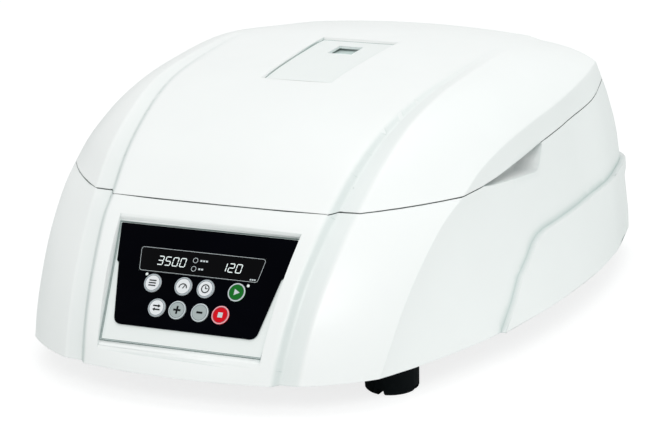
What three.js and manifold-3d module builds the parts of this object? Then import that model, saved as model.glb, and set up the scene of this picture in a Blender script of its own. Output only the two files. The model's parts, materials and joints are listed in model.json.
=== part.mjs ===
// Clinical centrifuge with a rear-hinged lid, in millimetres.
// +Z is up, the control panel faces -Y, and the origin is the middle of the footprint
// on the surface the feet stand on.

import * as THREE from 'three';
import { mergeVertices } from 'three/addons/utils/BufferGeometryUtils.js';
import Module from 'manifold-3d';

const wasm = await Module();
wasm.setup();

// Overall sizes
const BODY_WIDTH = 437;
const BODY_DEPTH = 520;
const SHELL_HEIGHT = 186;
const FOOT_HEIGHT = 25;
const REAR_RELIEF = 4.5;

// Walls, gaps and the one overrun used by every cut
const WALL = 3;
const SEAM_GAP = 0.8;
const FIT = 0.3;
const SLIDE_FIT = 0.4;
const LINER_FIT = 2.6;
const OVERRUN = 30;
const WELD = 0.0005;
const OFFSET_SOFTNESS = 0.02;

// Outer skin, as shares of the half width, the depth from the front, and the shell height
const SKIN_HALF = BODY_WIDTH / 2 - REAR_RELIEF;
const SKIN_DEPTH = BODY_DEPTH - REAR_RELIEF;
const spineShares = [
  [0.393, 0.0155, 0], [0.403, 0.034, 0.127], [0.415, 0.061, 0.262], [0.428, 0.096, 0.4],
  [0.45, 0.1505, 0.559], [0.456, 0.18, 0.6215], [0.477, 0.246, 0.758], [0.501, 0.335, 0.876],
  [0.53, 0.438, 0.949], [0.549, 0.5775, 0.9785], [0.547, 0.752, 0.978], [0.491, 0.942, 0.907],
];
const valleyShares = [
  [0.495, 0.03, 0], [0.504, 0.05, 0.124], [0.514, 0.0756, 0.253], [0.531, 0.116, 0.398],
  [0.551, 0.1705, 0.55], [0.562, 0.201, 0.621], [0.581, 0.2655, 0.758], [0.595, 0.3566, 0.884],
  [0.61, 0.4496, 0.9516], [0.6145, 0.5775, 0.9785], [0.6075, 0.742, 0.975], [0.561, 0.934, 0.893],
];
const creaseShares = [
  [0.732, 0.101, 0], [0.75, 0.124, 0.1075], [0.766, 0.155, 0.234], [0.789, 0.2045, 0.39],
  [0.816, 0.273, 0.543], [0.836, 0.325, 0.615], [0.8505, 0.3876, 0.696], [0.8705, 0.4767, 0.757],
  [0.883, 0.568, 0.785], [0.89, 0.674, 0.805], [0.8785, 0.8, 0.834], [0.8364, 0.8895, 0.841],
];
const cheekBulgeShares = [
  [0.01, -0.004, 0], [0.01, -0.004, 0], [0.01, -0.004, 0], [0.01, -0.004, 0],
  [0.01, -0.004, 0], [0.01, -0.003, 0.005], [0.014, 0, 0.015], [0.014, 0, 0.022],
  [0.014, 0, 0.022], [0.014, 0, 0.022], [0.014, 0.004, 0.016], [0.012, 0.013, 0],
];
const footlineShares = [
  0.732, 0.7595, 0.7945, 0.8435, 0.8995, 0.935, 0.963, 0.995, 1.008, 1.011, 0.978, 0.928,
];
const crownShares = [0.043, 0.012, 0.006, 0.004, 0.004, 0.005, 0.009, 0.015, 0.02, 0.021, 0.022, 0.027];
const stepDepthShares = [0.032, 0.032, 0.032, 0.032, 0.032, 0.032, 0.0295, 0.0215, 0.0135, 0.0055, 0, 0];
const rearFootlineShares = [
  [0, 1], [0.17, 0.9995], [0.34, 0.998], [0.491, 0.995], [0.57, 0.9915],
  [0.66, 0.987], [0.74, 0.9805], [0.825, 0.9695], [0.893, 0.94], [0.928, 0.8895],
];
const outsideDetail = {
  rowsPerStep: 2,
  spineShares: [0, 0.5, 1],
  cheekShares: [0.2, 0.4, 0.6, 0.8, 1],
  levelShares: [0, 0.2, 0.45, 0.72, 1],
};
const insideDetail = {
  rowsPerStep: 1,
  spineShares: [0, 0.6, 1],
  cheekShares: [0.5, 1],
  levelShares: [0, 0.33, 0.66, 1],
};
const SIDE_FLARE_POWER = 1.5;
const REAR_FLARE_POWER = 1.25;
const CORNER_FLARE_POWER = 3;
const rearFlareShares = [0.7, 0.88];
const cornerFlareShares = [0.6, 0.83];
const STEP_WIDTH = 5;

// Seam between lid and base, side view shares
const seamShares = [
  [-0.2, 0.6205], [0.33, 0.6205], [0.386, 0.6205], [0.432, 0.629], [0.483, 0.645],
  [0.589, 0.6745], [0.671, 0.688], [0.752, 0.705], [0.8, 0.719], [0.84, 0.737], [0.89, 0.7545],
  [0.95, 0.757], [1.2, 0.757],
];

// Raised band round the rear of the base, side view shares
const rearBandShares = [
  [0.33, -0.1], [0.353, 0], [0.4, 0.097], [0.434, 0.183], [0.469, 0.237], [0.496, 0.285],
  [0.517, 0.306], [0.543, 0.3145], [0.62, 0.3145], [0.7, 0.316], [0.77, 0.325], [0.83, 0.337],
  [0.9, 0.345], [1.2, 0.345], [1.2, -0.1],
];

// Finger recess under the lid edge, side view shares
const fingerShares = [
  [0.392, 0.619], [0.42, 0.604], [0.552, 0.563], [0.563, 0.567], [0.571, 0.583], [0.591, 0.66],
  [0.591, 0.8], [0.392, 0.8],
];
const FINGER_DEPTH = 14;
const FINGER_SIDE_SHARE = 0.872;

// Control panel
const PANEL_BASE_Y_SHARE = 0.0335;
const PANEL_BASE_Z_SHARE = 0.1;
const PANEL_LENGTH = 99;
const PANEL_LEAN_DEGREES = 36.6;
const PANEL_HALF_BOTTOM = 72.6;
const PANEL_HALF_TOP = 81.2;
const PANEL_THICKNESS = 3;
const PANEL_GAP = 0.8;
const RECESS_ABOVE = 11;
const COVE_DEPTH = 1.8;
const CHIN_LENGTH = 15;
const CHIN_DEPTH = 10;
const PANEL_LEDGE = 6;
const OVERLAY_THICKNESS = 0.8;
const overlayShares = [
  [0.985, 0.995], [0.93, 0.672], [0.905, 0.655], [0.79, 0.205], [0.77, 0.165], [0.73, 0.143],
];
const displayShares = [[0.703, 0.815], [0.663, 0.605]];
const moduleShares = [0.6, 0.63, 0.79];
const KEY_RADIUS = 7.6;
const KEY_PROUD = 0.7;
const KEY_TRAVEL = 0.8;
const KEY_FLANGE = 1.7;
const KEY_FLANGE_THICKNESS = 1.4;
const SWITCH_SIDE = 6;
const SWITCH_HEIGHT = 4.3;
const BOARD_THICKNESS = 1.6;
const boardShares = [0.182, 0.879];
const LED_RADIUS = 1.3;
const PANE_SEAT = 1;
const keyTable = [
  { name: 'key_program', u: -0.467, v: 0.512, color: 0xf2f3f4 },
  { name: 'key_speed', u: -0.124, v: 0.512, color: 0xf2f3f4 },
  { name: 'key_time', u: 0.124, v: 0.512, color: 0xf2f3f4 },
  { name: 'key_start', u: 0.467, v: 0.512, color: 0x1d8a2a },
  { name: 'key_mode', u: -0.354, v: 0.311, color: 0xf2f3f4 },
  { name: 'key_plus', u: -0.125, v: 0.311, color: 0xa9aeb0 },
  { name: 'key_minus', u: 0.125, v: 0.311, color: 0xa9aeb0 },
  { name: 'key_stop', u: 0.354, v: 0.311, color: 0xd8142a },
];
const ledTable = [
  { name: 'led_program', u: -0.56, v: 0.583 },
  { name: 'led_run', u: 0.569, v: 0.578 },
];

// Rotor axis, bowl and rotor
const AXIS_Y_SHARE = 0.597;
const BOWL_RADIUS_SHARE = 0.2462;
const BOWL_WALL = 1.5;
const BOWL_FLANGE = 14;
const BOWL_DEPTH = 47;
const BOWL_CORNER = 14;
const BOWL_HUB_RADIUS = 24;
const BOWL_HUB_RISE = 9;
const BOWL_HOLE = 15;
const DECK_THICKNESS = 3;
const DECK_CLEARANCE = 1.5;
const DECK_HEIGHT_SHARE = 0.583;
const GASKET_HEIGHT = 5;
const GASKET_WIDTH = 7;
const gasketLipShare = 0.33;
const ROTOR_CLEARANCE = 24;
const ROTOR_LIFT = 13;
const ROTOR_HEIGHT = 55;
const ROTOR_PLATE_THICKNESS = 14;
const ROTOR_CHAMFER = 2;
const HUB_RADIUS = 24;
const HUB_FLANGE_RADIUS = 36;
const HUB_FLANGE_HEIGHT = 5;
const TUBE_COUNT = 8;
const TUBE_TILT_DEGREES = 30;
const TUBE_RADIUS = 10.5;
const TUBE_WALL = 1.6;
const TUBE_LENGTH = 56;
const TUBE_HEAD_RADIUS_SHARE = 0.6;
const TUBE_SEAT_SINK = 2;
const TUBE_COLLAR = 2;
const TUBE_COLLAR_HEIGHT = 3;
const SHAFT_RADIUS = 6;
const SHAFT_STEP = 2;
const NUT_RADIUS = 17;
const NUT_HEIGHT = 14;
const NUT_CROWN = 3;
const NUT_LOBES = 6;
const NUT_LOBE_DEPTH = 1.6;

// Motor and its suspension
const MOTOR_RADIUS = 44;
const MOTOR_CLEARANCE = 4;
const MOTOR_TOP_GAP = 5;
const MOTOR_RIBS = 10;
const MOTOR_RIB_DEPTH = 2.5;
const MOTOR_FLANGE_WIDTH = 6;
const MOTOR_FLANGE_SHARE = 0.68;
const motorRibShares = [0.3, 0.7];
const MOTOR_BASE_THICKNESS = 9;
const CARRIER_RADIUS = 86;
const CARRIER_THICKNESS = 3;
const DAMPER_RADIUS = 11;
const DAMPER_WAIST_SHARE = 0.8;
const damperBendShares = [0.25, 0.75];
const DAMPER_CIRCLE = 70;
const DAMPER_COUNT = 4;

// Base plate and feet
const PLATE_THICKNESS = 2;
const FOOT_RADIUS = 22.4;
const FOOT_CHAMFER = 2.2;
const FOOT_TAPER = 0.8;
const FOOT_SLOT = 5;
const FOOT_SLOT_HEIGHT = 4;
const FOOT_X_SHARE = 0.671;
const FOOT_FRONT_SHARE = 0.1946;
const FOOT_REAR_SHARE = 0.86;
const PLATE_SLOT_COUNT = 7;
const PLATE_SLOT_WIDTH = 4;
const PLATE_SLOT_LENGTH = 40;
const PLATE_SLOT_PITCH = 12;

// Lid, its top plate and window
const LID_PLATE_HALF_FRONT = 32.7;
const LID_PLATE_HALF_REAR = 36.3;
const LID_PLATE_FRONT_SHARE = 0.46;
const LID_PLATE_REAR_SHARE = 0.6985;
const LID_CHANNEL_FRONT_SHARE = 0.409;
const LID_CHANNEL_REAR_SHARE = 0.766;
const LID_CHANNEL_DEPTH = 1.9;
const LID_PLATE_THICKNESS = 2.4;
const LID_PLATE_GAP = 0.5;
const PANE_THICKNESS = 2;
const PANE_MARGIN = 4;
const WINDOW_HALF = 11.3;
const WINDOW_FRONT_SHARE = 0.6175;
const WINDOW_REAR_SHARE = 0.6635;
const LINER_THICKNESS = 2.5;
const DOME_INSET = 2;
const DOME_SLOPE = 34;
const DOME_HEIGHT = 44;
const DOME_LIP = 6;
const LINER_REAR_SHARE = 0.868;
const LINER_SECTION_SHARE = 0.68;
const LINER_SWING = 3.5;
const LINER_POST_RADIUS = 6;
const linerPostShares = [[0.66, 0.42], [0.74, 0.63], [0.6, 0.835]];

// Lid hinge at the rear
const HINGE_Y_SHARE = 0.9428;
const HINGE_Z_SHARE = 0.7313;
const HINGE_X = 66;
const KNUCKLE_RADIUS = 3.5;
const KNUCKLE_LENGTH = 12;
const PIN_RADIUS = 1.6;
const LEAF_THICKNESS = 2.4;
const LID_LEAF_HEIGHT = 18;
const HINGE_FOOT_DEPTH = 24;
const NOTCH_HALF = 138;
const NOTCH_DEPTH = 10;
const NOTCH_FRONT_SHARE = 0.9;

// Lid lock
const LOCK_Y_SHARE = 0.222;
const STRIKER_HALF = 11;
const STRIKER_THICKNESS = 3;
const STRIKER_DROP = 30;
const STRIKER_WINDOW_HALF = 6;
const STRIKER_WINDOW_HEIGHT = 10;
const STRIKER_LIP = 5;
const STRIKER_FOOT = 14;
const SLOT_MARGIN = 5;
const SLOT_REACH = 10;
const LOCK_HALF = 24;
const LOCK_LENGTH = 62;
const LOCK_HEIGHT = 32;
const LOCK_WALL = 4;
const BOLT_HALF = 4.6;
const BOLT_HEIGHT = 7;
const BOLT_LENGTH = 38;
const BOLT_SETBACK = 5;

// Rear service recess with inlet and power switch
const SERVICE_HALF = 72;
const SERVICE_LOW = 9;
const SERVICE_HEIGHT = 38;
const SERVICE_DEPTH = 6;
const SERVICE_OFFSET = 34;
const INLET_HALF = 24;
const INLET_HEIGHT = 27;
const INLET_FLANGE = 2.6;
const INLET_BODY_HALF = 13.5;
const INLET_BODY_HEIGHT = 20;
const INLET_BODY_DEPTH = 24;
const INLET_WALL = 2;
const INLET_CAVITY = 15;
const PIN_HALF = 1;
const PIN_HEIGHT = 4;
const PIN_SPREAD = 7;
const PIN_OFFSET = 3;
const SWITCH_BEZEL_HALF = 13;
const SWITCH_BEZEL_HEIGHT = 30;
const BEZEL_THICKNESS = 2;
const BEZEL_BODY_HALF = 10.5;
const BEZEL_BODY_HEIGHT = 26;
const BEZEL_BODY_DEPTH = 20;
const BEZEL_WALL = 1.6;
const ROCKER_DEGREES = 9;
const ROCKER_PIVOT_DEPTH = 1.5;
const ROCKER_REACH = 10.2;
const ROCKER_PROUD = 4.6;
const ROCKER_SHOULDER = 10.8;
const ROCKER_BACK = 4;
const ROCKER_BACK_HALF = 7;

// Rear vents and power board
const VENT_COUNT = 11;
const VENT_PITCH = 9;
const VENT_WIDTH = 3.4;
const VENT_LOW_SHARE = 0.37;
const VENT_HIGH_SHARE = 0.55;
const BOARD_HALF = 62;
const BOARD_FRONT_SHARE = 0.862;
const BOARD_DEPTH = 34;
const BOARD_LIFT = 8;
const POST_RADIUS = 3.2;
const POST_INSET = 6.4;
const CORE_SIDE = 26;
const CAP_RADIUS = 7;
const CAP_HEIGHT = 20;

// Segment counts
const ROUND = 32;
const SMALL_ROUND = 16;
const TINY_ROUND = 12;
const FOOTLINE_STEPS = 4;
const COVE_STEPS = 6;
const CORNER_STEPS = 2;
const CHANNEL_STEPS = 8;

// Shares to places
const placeX = (share) => share * SKIN_HALF;
const placeY = (share) => share * SKIN_DEPTH - BODY_DEPTH / 2;
const placeZ = (share) => FOOT_HEIGHT + share * SHELL_HEIGHT;
const place = ([x, y, z]) => new THREE.Vector3(placeX(x), placeY(y), placeZ(z));
const sidePlace = ([y, z]) => [placeY(y), placeZ(z)];
const radians = (degrees) => degrees * Math.PI / 180;

// Solids from geometry and back
function signedVolume(points, triangles) {
  const a = new THREE.Vector3(), b = new THREE.Vector3(), c = new THREE.Vector3();
  let sum = 0;
  for (let i = 0; i < triangles.length; i += 3) {
    a.fromArray(points, triangles[i] * 3);
    b.fromArray(points, triangles[i + 1] * 3);
    c.fromArray(points, triangles[i + 2] * 3);
    sum += a.dot(b.cross(c));
  }
  return sum / 6;
}

function solid(geometry, matrix = null) {
  const bare = new THREE.BufferGeometry();
  bare.setAttribute('position', geometry.getAttribute('position').clone());
  if (geometry.index) bare.setIndex(geometry.index.clone());
  if (matrix) bare.applyMatrix4(matrix);
  const welded = mergeVertices(bare, WELD);
  const source = welded.index.array;
  const triangles = [];
  for (let i = 0; i < source.length; i += 3) {
    const [a, b, c] = [source[i], source[i + 1], source[i + 2]];
    if (a !== b && b !== c && c !== a) triangles.push(a, b, c);
  }
  const points = welded.getAttribute('position').array;
  if (signedVolume(points, triangles) < 0) {
    for (let i = 0; i < triangles.length; i += 3) {
      [triangles[i + 1], triangles[i + 2]] = [triangles[i + 2], triangles[i + 1]];
    }
  }
  return new wasm.Manifold(new wasm.Mesh({
    numProp: 3, vertProperties: new Float32Array(points), triVerts: new Uint32Array(triangles),
  }));
}

function geometryOf(body) {
  const mesh = body.getMesh();
  const geometry = new THREE.BufferGeometry();
  geometry.setAttribute('position', new THREE.BufferAttribute(new Float32Array(mesh.vertProperties), 3));
  geometry.setIndex([...mesh.triVerts]);
  geometry.computeVertexNormals();
  return geometry;
}

const joined = (bodies) => bodies.reduce((all, next) => all.add(next));
const cut = (body, tools) => tools.reduce((left, tool) => left.subtract(tool), body);

// Basic shapes
function outline(points) {
  return new THREE.Shape(points.map(([x, y]) => new THREE.Vector2(x, y)));
}

function prismZ(points, low, high) {
  const geometry = new THREE.ExtrudeGeometry(outline(points), { depth: high - low, bevelEnabled: false });
  return solid(geometry, new THREE.Matrix4().makeTranslation(0, 0, low));
}

function prismX(points, left, right) {
  const geometry = new THREE.ExtrudeGeometry(outline(points), { depth: right - left, bevelEnabled: false });
  const axes = new THREE.Matrix4().makeBasis(
    new THREE.Vector3(0, 1, 0), new THREE.Vector3(0, 0, 1), new THREE.Vector3(1, 0, 0));
  axes.setPosition(left, 0, 0);
  return solid(geometry, axes);
}

function block(x0, x1, y0, y1, z0, z1) {
  return prismZ([[x0, y0], [x1, y0], [x1, y1], [x0, y1]], z0, z1);
}

function turnedGeometry(profile, segments) {
  const geometry = new THREE.LatheGeometry(profile.map(([r, z]) => new THREE.Vector2(r, z)), segments);
  geometry.rotateX(Math.PI / 2);
  return geometry;
}

function turned(profile, segments, x = 0, y = 0, z = 0) {
  return solid(turnedGeometry(profile, segments), new THREE.Matrix4().makeTranslation(x, y, z));
}

function disc(radius, low, high, segments, x = 0, y = 0) {
  return turned([[0, low], [radius, low], [radius, high], [0, high]], segments, x, y);
}

function rodX(radius, left, right, y, z, segments) {
  const geometry = turnedGeometry([[0, left], [radius, left], [radius, right], [0, right]], segments);
  geometry.rotateY(Math.PI / 2);
  return solid(geometry, new THREE.Matrix4().makeTranslation(0, y, z));
}

// Curves of the outer skin
const curveOf = (shares) => new THREE.CatmullRomCurve3(shares.map(place), false, 'centripetal');
const spineCurve = curveOf(spineShares);
const valleyCurve = curveOf(valleyShares);
const creaseCurve = curveOf(creaseShares);
const controlCurve = curveOf(cheekBulgeShares.map((bulge, i) => bulge.map(
  (value, axis) => (valleyShares[i][axis] + creaseShares[i][axis]) / 2 + 2 * value)));
const rearFootline = new THREE.CatmullRomCurve3(
  rearFootlineShares.map(([x, y]) => place([x, y, 0])), false, 'centripetal');

function along(shares, t) {
  const position = t * (shares.length - 1);
  const i = Math.min(Math.floor(position), shares.length - 2);
  return THREE.MathUtils.lerp(shares[i], shares[i + 1], position - i);
}

function spineNormal(t) {
  const tangent = spineCurve.getTangent(Math.min(Math.max(t, WELD), 1 - WELD));
  return new THREE.Vector3(0, -tangent.z, tangent.y).normalize();
}

// One transverse row of the top skin, from the middle out to the crease
function halfRow(t, detail) {
  const edge = spineCurve.getPoint(t);
  const normal = spineNormal(t);
  const crown = along(crownShares, t) * SHELL_HEIGHT;
  const step = along(stepDepthShares, t) * SHELL_HEIGHT;
  const forward = new THREE.Vector3(0, -1, 0);
  const lift = t === 0 ? forward : normal;
  const row = detail.spineShares.map((share) => {
    const point = edge.clone().addScaledVector(lift, crown * (1 - share * share));
    point.x = edge.x * share;
    return point;
  });
  const [inner, middle, outer] = [valleyCurve, controlCurve, creaseCurve].map((c) => c.getPoint(t));
  const fade = 1 - along(stepDepthShares, t) / stepDepthShares[0];
  const foot = edge.clone().lerp(inner, fade * STEP_WIDTH / (inner.x - edge.x)).addScaledVector(lift, -step);
  foot.x = edge.x + STEP_WIDTH;
  row.push(foot, inner);
  for (const s of detail.cheekShares) {
    row.push(new THREE.Vector3()
      .addScaledVector(inner, (1 - s) * (1 - s))
      .addScaledVector(middle, 2 * s * (1 - s))
      .addScaledVector(outer, s * s));
  }
  return row;
}

// Side wall from a point of the upper edge down to its foot
function wallLine(top, foot, detail) {
  const { lerp, smoothstep } = THREE.MathUtils;
  const rearness = smoothstep(top.y, ...rearFlareShares.map(placeY));
  const cornering = smoothstep(top.x, ...cornerFlareShares.map(placeX));
  const power = lerp(REAR_FLARE_POWER, CORNER_FLARE_POWER, cornering);
  return detail.levelShares.map((level) => {
    const flare = lerp(Math.pow(level, SIDE_FLARE_POWER), 1 - Math.pow(1 - level, power), rearness);
    return new THREE.Vector3(
      lerp(top.x, foot.x, flare), lerp(top.y, foot.y, flare), lerp(top.z, foot.z, level));
  });
}

// Foot of the rear wall under a point of the rear edge
function rearFoot(top) {
  const steps = rearFootlineShares.length * FOOTLINE_STEPS;
  const reach = top.x / placeX(creaseShares[creaseShares.length - 1][0]);
  const target = reach * placeX(rearFootlineShares[rearFootlineShares.length - 1][0]);
  for (let i = 0; i < steps; i += 1) {
    const [a, b] = [rearFootline.getPoint(i / steps), rearFootline.getPoint((i + 1) / steps)];
    if (b.x >= target - WELD) {
      return new THREE.Vector3(target, THREE.MathUtils.mapLinear(target, a.x, b.x, a.y, b.y), a.z);
    }
  }
  return rearFootline.getPoint(1);
}

// Closed skin as welded points and faces, each face knowing whether it is the underside
function buildSkin(detail) {
  const rowCount = (spineShares.length - 1) * detail.rowsPerStep;
  const rows = Array.from({ length: rowCount + 1 }, (_, i) => halfRow(i / rowCount, detail));
  const last = rows[0].length - 1;
  const points = [];
  const lookup = new Map();
  const indexOf = (p) => {
    const key = p.toArray().map((value) => Math.round(value / WELD)).join();
    if (!lookup.has(key)) {
      lookup.set(key, points.length);
      points.push(p.clone());
    }
    return lookup.get(key);
  };
  const faces = [];
  const addFace = (a, b, c, under = false) => {
    if (a !== b && b !== c && c !== a) faces.push({ corners: [a, b, c], under });
  };
  const mirrored = (p) => new THREE.Vector3(-p.x, p.y, p.z);
  const strip = (upper, lower, flip) => {
    for (let i = 0; i + 1 < upper.length; i += 1) {
      const [a, b, c, d] = [upper[i], upper[i + 1], lower[i + 1], lower[i]].map(indexOf);
      if (flip) {
        addFace(a, c, b);
        addFace(a, d, c);
      } else {
        addFace(a, b, c);
        addFace(a, c, d);
      }
    }
  };
  const walls = rows.slice(0, -1).map((row, i) => {
    const footX = placeX(along(footlineShares, i / rowCount));
    return wallLine(row[last], new THREE.Vector3(footX, row[last].y, FOOT_HEIGHT), detail);
  });
  for (const top of [...rows[rowCount]].reverse()) walls.push(wallLine(top, rearFoot(top), detail));
  for (const side of [1, -1]) {
    const at = (p) => (side > 0 ? p : mirrored(p));
    for (let i = 0; i < rowCount; i += 1) strip(rows[i + 1].map(at), rows[i].map(at), side > 0);
    for (let i = 0; i + 1 < walls.length; i += 1) strip(walls[i].map(at), walls[i + 1].map(at), side < 0);
  }
  const half = [...rows[0], ...walls.slice(1).map((line) => line[line.length - 1])];
  const ring = [...half, ...half.slice(1, -1).reverse().map(mirrored)];
  const flat = ring.map((p) => new THREE.Vector2(p.x, p.y));
  for (const [a, b, c] of THREE.ShapeUtils.triangulateShape(flat, [])) {
    addFace(indexOf(ring[a]), indexOf(ring[c]), indexOf(ring[b]), true);
  }
  return { points, faces, middle: rows.map((row) => row[0]) };
}

const outsideSkin = buildSkin(outsideDetail);
const insideSkin = buildSkin(insideDetail);

// Height of the middle of the lid at a given depth
function lidHeight(y) {
  const { middle } = outsideSkin;
  const i = middle.findIndex((point) => point.y > y);
  const [a, b] = [middle[i - 1], middle[i]];
  return THREE.MathUtils.mapLinear(y, a.y, b.y, a.z, b.z);
}

// The skin moved in or out by a distance, the underside moved on its own
function skinSolid(skin, distance, underDistance) {
  const { points, faces } = skin;
  const sums = points.map(() => ({ normal: new Array(6).fill(0), right: [0, 0, 0] }));
  const [ab, ac] = [new THREE.Vector3(), new THREE.Vector3()];
  for (const { corners, under } of faces) {
    const [a, b, c] = corners.map((i) => points[i]);
    ab.subVectors(b, a);
    ac.subVectors(c, a);
    const n = ab.cross(ac);
    if (n.length() === 0) continue;
    n.normalize();
    const reach = under ? underDistance : distance;
    for (const i of corners) {
      const { normal, right } = sums[i];
      normal[0] += n.x * n.x; normal[1] += n.x * n.y; normal[2] += n.x * n.z;
      normal[3] += n.y * n.y; normal[4] += n.y * n.z; normal[5] += n.z * n.z;
      right[0] += n.x * reach; right[1] += n.y * reach; right[2] += n.z * reach;
    }
  }
  const moved = points.map((point, i) => {
    const [xx, xy, xz, yy, yz, zz] = sums[i].normal;
    const system = new THREE.Matrix3().set(
      xx + OFFSET_SOFTNESS, xy, xz, xy, yy + OFFSET_SOFTNESS, yz, xz, yz, zz + OFFSET_SOFTNESS).invert();
    return new THREE.Vector3(...sums[i].right).applyMatrix3(system).add(point);
  });
  const geometry = new THREE.BufferGeometry().setFromPoints(moved);
  geometry.setIndex(faces.flatMap(({ corners }) => corners));
  return solid(geometry);
}

// Assembly and materials
const group = new THREE.Group();
group.name = 'clinical_centrifuge';
const finish = {
  shell: { color: 0xeef1f1, roughness: 0.32, metalness: 0 },
  liner: { color: 0xdfe3e3, roughness: 0.45, metalness: 0 },
  overlay: { color: 0x050607, roughness: 0.3, metalness: 0 },
  lens: { color: 0x0b0d10, roughness: 0.12, metalness: 0 },
  glass: { color: 0x9fb0ac, roughness: 0.08, metalness: 0 },
  steel: { color: 0xb9bcbe, roughness: 0.3, metalness: 1 },
  sheet: { color: 0xa7abad, roughness: 0.45, metalness: 1 },
  alloy: { color: 0xc4c7c9, roughness: 0.38, metalness: 1 },
  rubber: { color: 0x121314, roughness: 0.85, metalness: 0 },
  black: { color: 0x1a1b1d, roughness: 0.5, metalness: 0 },
  motor: { color: 0x3b3e41, roughness: 0.5, metalness: 0.6 },
  board: { color: 0x1d5a36, roughness: 0.55, metalness: 0 },
  sleeve: { color: 0x3a6ea5, roughness: 0.4, metalness: 0 },
  lamp: { color: 0xe8fff0, roughness: 0.25, metalness: 0 },
};

function piece(name, body, look, parent = group) {
  const shape = body.isBufferGeometry ? body : geometryOf(body);
  const mesh = new THREE.Mesh(shape, new THREE.MeshStandardMaterial(look));
  mesh.name = name;
  parent.add(mesh);
  return mesh;
}

// Levels and stations used by several parts
const axisY = placeY(AXIS_Y_SHARE);
const deckTop = placeZ(DECK_HEIGHT_SHARE);
const deckUnder = deckTop - DECK_THICKNESS;
const bowlRadius = BOWL_RADIUS_SHARE * BODY_DEPTH;
const bowlRim = deckTop + FIT + BOWL_WALL;
const bowlFloor = bowlRim - BOWL_DEPTH;
const linerUnder = bowlRim + FIT + GASKET_HEIGHT + FIT;
const linerTop = linerUnder + LINER_THICKNESS;
const plateUnder = FOOT_HEIGHT;
const plateTop = plateUnder + PLATE_THICKNESS;
const hingeY = placeY(HINGE_Y_SHARE);
const hingeZ = placeZ(HINGE_Z_SHARE);
const lockY = placeY(LOCK_Y_SHARE);
const farX = BODY_WIDTH / 2 + OVERRUN;
const roofZ = FOOT_HEIGHT + SHELL_HEIGHT + OVERRUN;

// Everything above the seam, raised or lowered by half the gap
function aboveSeam(shift) {
  const line = seamShares.map(sidePlace).map(([y, z]) => [y, z + shift]);
  const [first, last] = [line[0], line[line.length - 1]];
  return prismX([...line, [last[0], roofZ], [first[0], roofZ]], -farX, farX);
}

// Shell solids shared by base and lid
const outerSkin = skinSolid(outsideSkin, 0, 0);
const innerSkin = skinSolid(insideSkin, -WALL, OVERRUN);
const fitSkin = skinSolid(insideSkin, -WALL - FIT, -FIT);
const linerSkin = skinSolid(insideSkin, -WALL - LINER_FIT, -FIT);
const bandZone = prismX(rearBandShares.map(sidePlace), -farX, farX);
const bandInnerZone = prismX(
  rearBandShares.map(sidePlace).map(([y, z]) => [y + WALL, z - WALL]), -farX, farX);
const bandOuter = skinSolid(outsideSkin, REAR_RELIEF, 0).intersect(bandZone);
const bandInner = skinSolid(insideSkin, REAR_RELIEF - WALL, OVERRUN).intersect(bandInnerZone);

// Panel frame: u across, v up the panel, w out of its face
const panelLean = radians(PANEL_LEAN_DEGREES);
const panelAxisV = new THREE.Vector3(0, Math.sin(panelLean), Math.cos(panelLean));
const panelAxisW = new THREE.Vector3(0, -Math.cos(panelLean), Math.sin(panelLean));
const panelFrame = new THREE.Matrix4().makeBasis(new THREE.Vector3(1, 0, 0), panelAxisV, panelAxisW);
panelFrame.setPosition(0, placeY(PANEL_BASE_Y_SHARE), placeZ(PANEL_BASE_Z_SHARE));

function panelPrism(points, low, high) {
  const geometry = new THREE.ExtrudeGeometry(outline(points), { depth: high - low, bevelEnabled: false });
  const raised = new THREE.Matrix4().makeTranslation(0, 0, low);
  return solid(geometry, panelFrame.clone().multiply(raised));
}

const panelHalf = (v) => THREE.MathUtils.mapLinear(v, 0, PANEL_LENGTH, PANEL_HALF_BOTTOM, PANEL_HALF_TOP);

function panelTrapezoid(low, high, grow = 0) {
  return [
    [-panelHalf(low) - grow, low], [panelHalf(low) + grow, low],
    [panelHalf(high) + grow, high], [-panelHalf(high) - grow, high],
  ];
}

const overlayLift = FIT;
const overlayTop = overlayLift + OVERLAY_THICKNESS;
const panelBack = -PANEL_THICKNESS;
const ledgeTop = panelBack - FIT;
const flangeTop = panelBack - FIT;
const flangeBack = flangeTop - KEY_FLANGE_THICKNESS;
const switchTop = flangeBack - KEY_TRAVEL - FIT;
const boardFront = switchTop - SWITCH_HEIGHT;
const boardBack = boardFront - BOARD_THICKNESS;
const displayPoints = [
  [displayShares[1][0], displayShares[1][1]], [displayShares[0][0], displayShares[0][1]],
].map(([u, v]) => [u * PANEL_HALF_TOP, v * PANEL_LENGTH]);
const displayOutline = [
  [-displayPoints[0][0], displayPoints[0][1]], [displayPoints[0][0], displayPoints[0][1]],
  [displayPoints[1][0], displayPoints[1][1]], [-displayPoints[1][0], displayPoints[1][1]],
];
const grown = (points, grow) => {
  const middle = points.reduce((sum, p) => sum + p[1], 0) / points.length;
  return points.map(([u, v]) => [u + Math.sign(u) * grow, v + Math.sign(v - middle) * grow]);
};
const [moduleHalfShare, moduleLowShare, moduleHighShare] = moduleShares;
const moduleHalf = moduleHalfShare * PANEL_HALF_TOP;
const moduleOutline = [
  [-moduleHalf, moduleLowShare * PANEL_LENGTH], [moduleHalf, moduleLowShare * PANEL_LENGTH],
  [moduleHalf, moduleHighShare * PANEL_LENGTH], [-moduleHalf, moduleHighShare * PANEL_LENGTH],
];
const keyPlace = ({ u, v }) => [u * PANEL_HALF_TOP, v * PANEL_LENGTH];

function panelDisc(radius, low, high, u, v, segments) {
  const geometry = turnedGeometry([[0, low], [radius, low], [radius, high], [0, high]], segments);
  return solid(geometry, panelFrame.clone().multiply(new THREE.Matrix4().makeTranslation(u, v, 0)));
}

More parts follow.
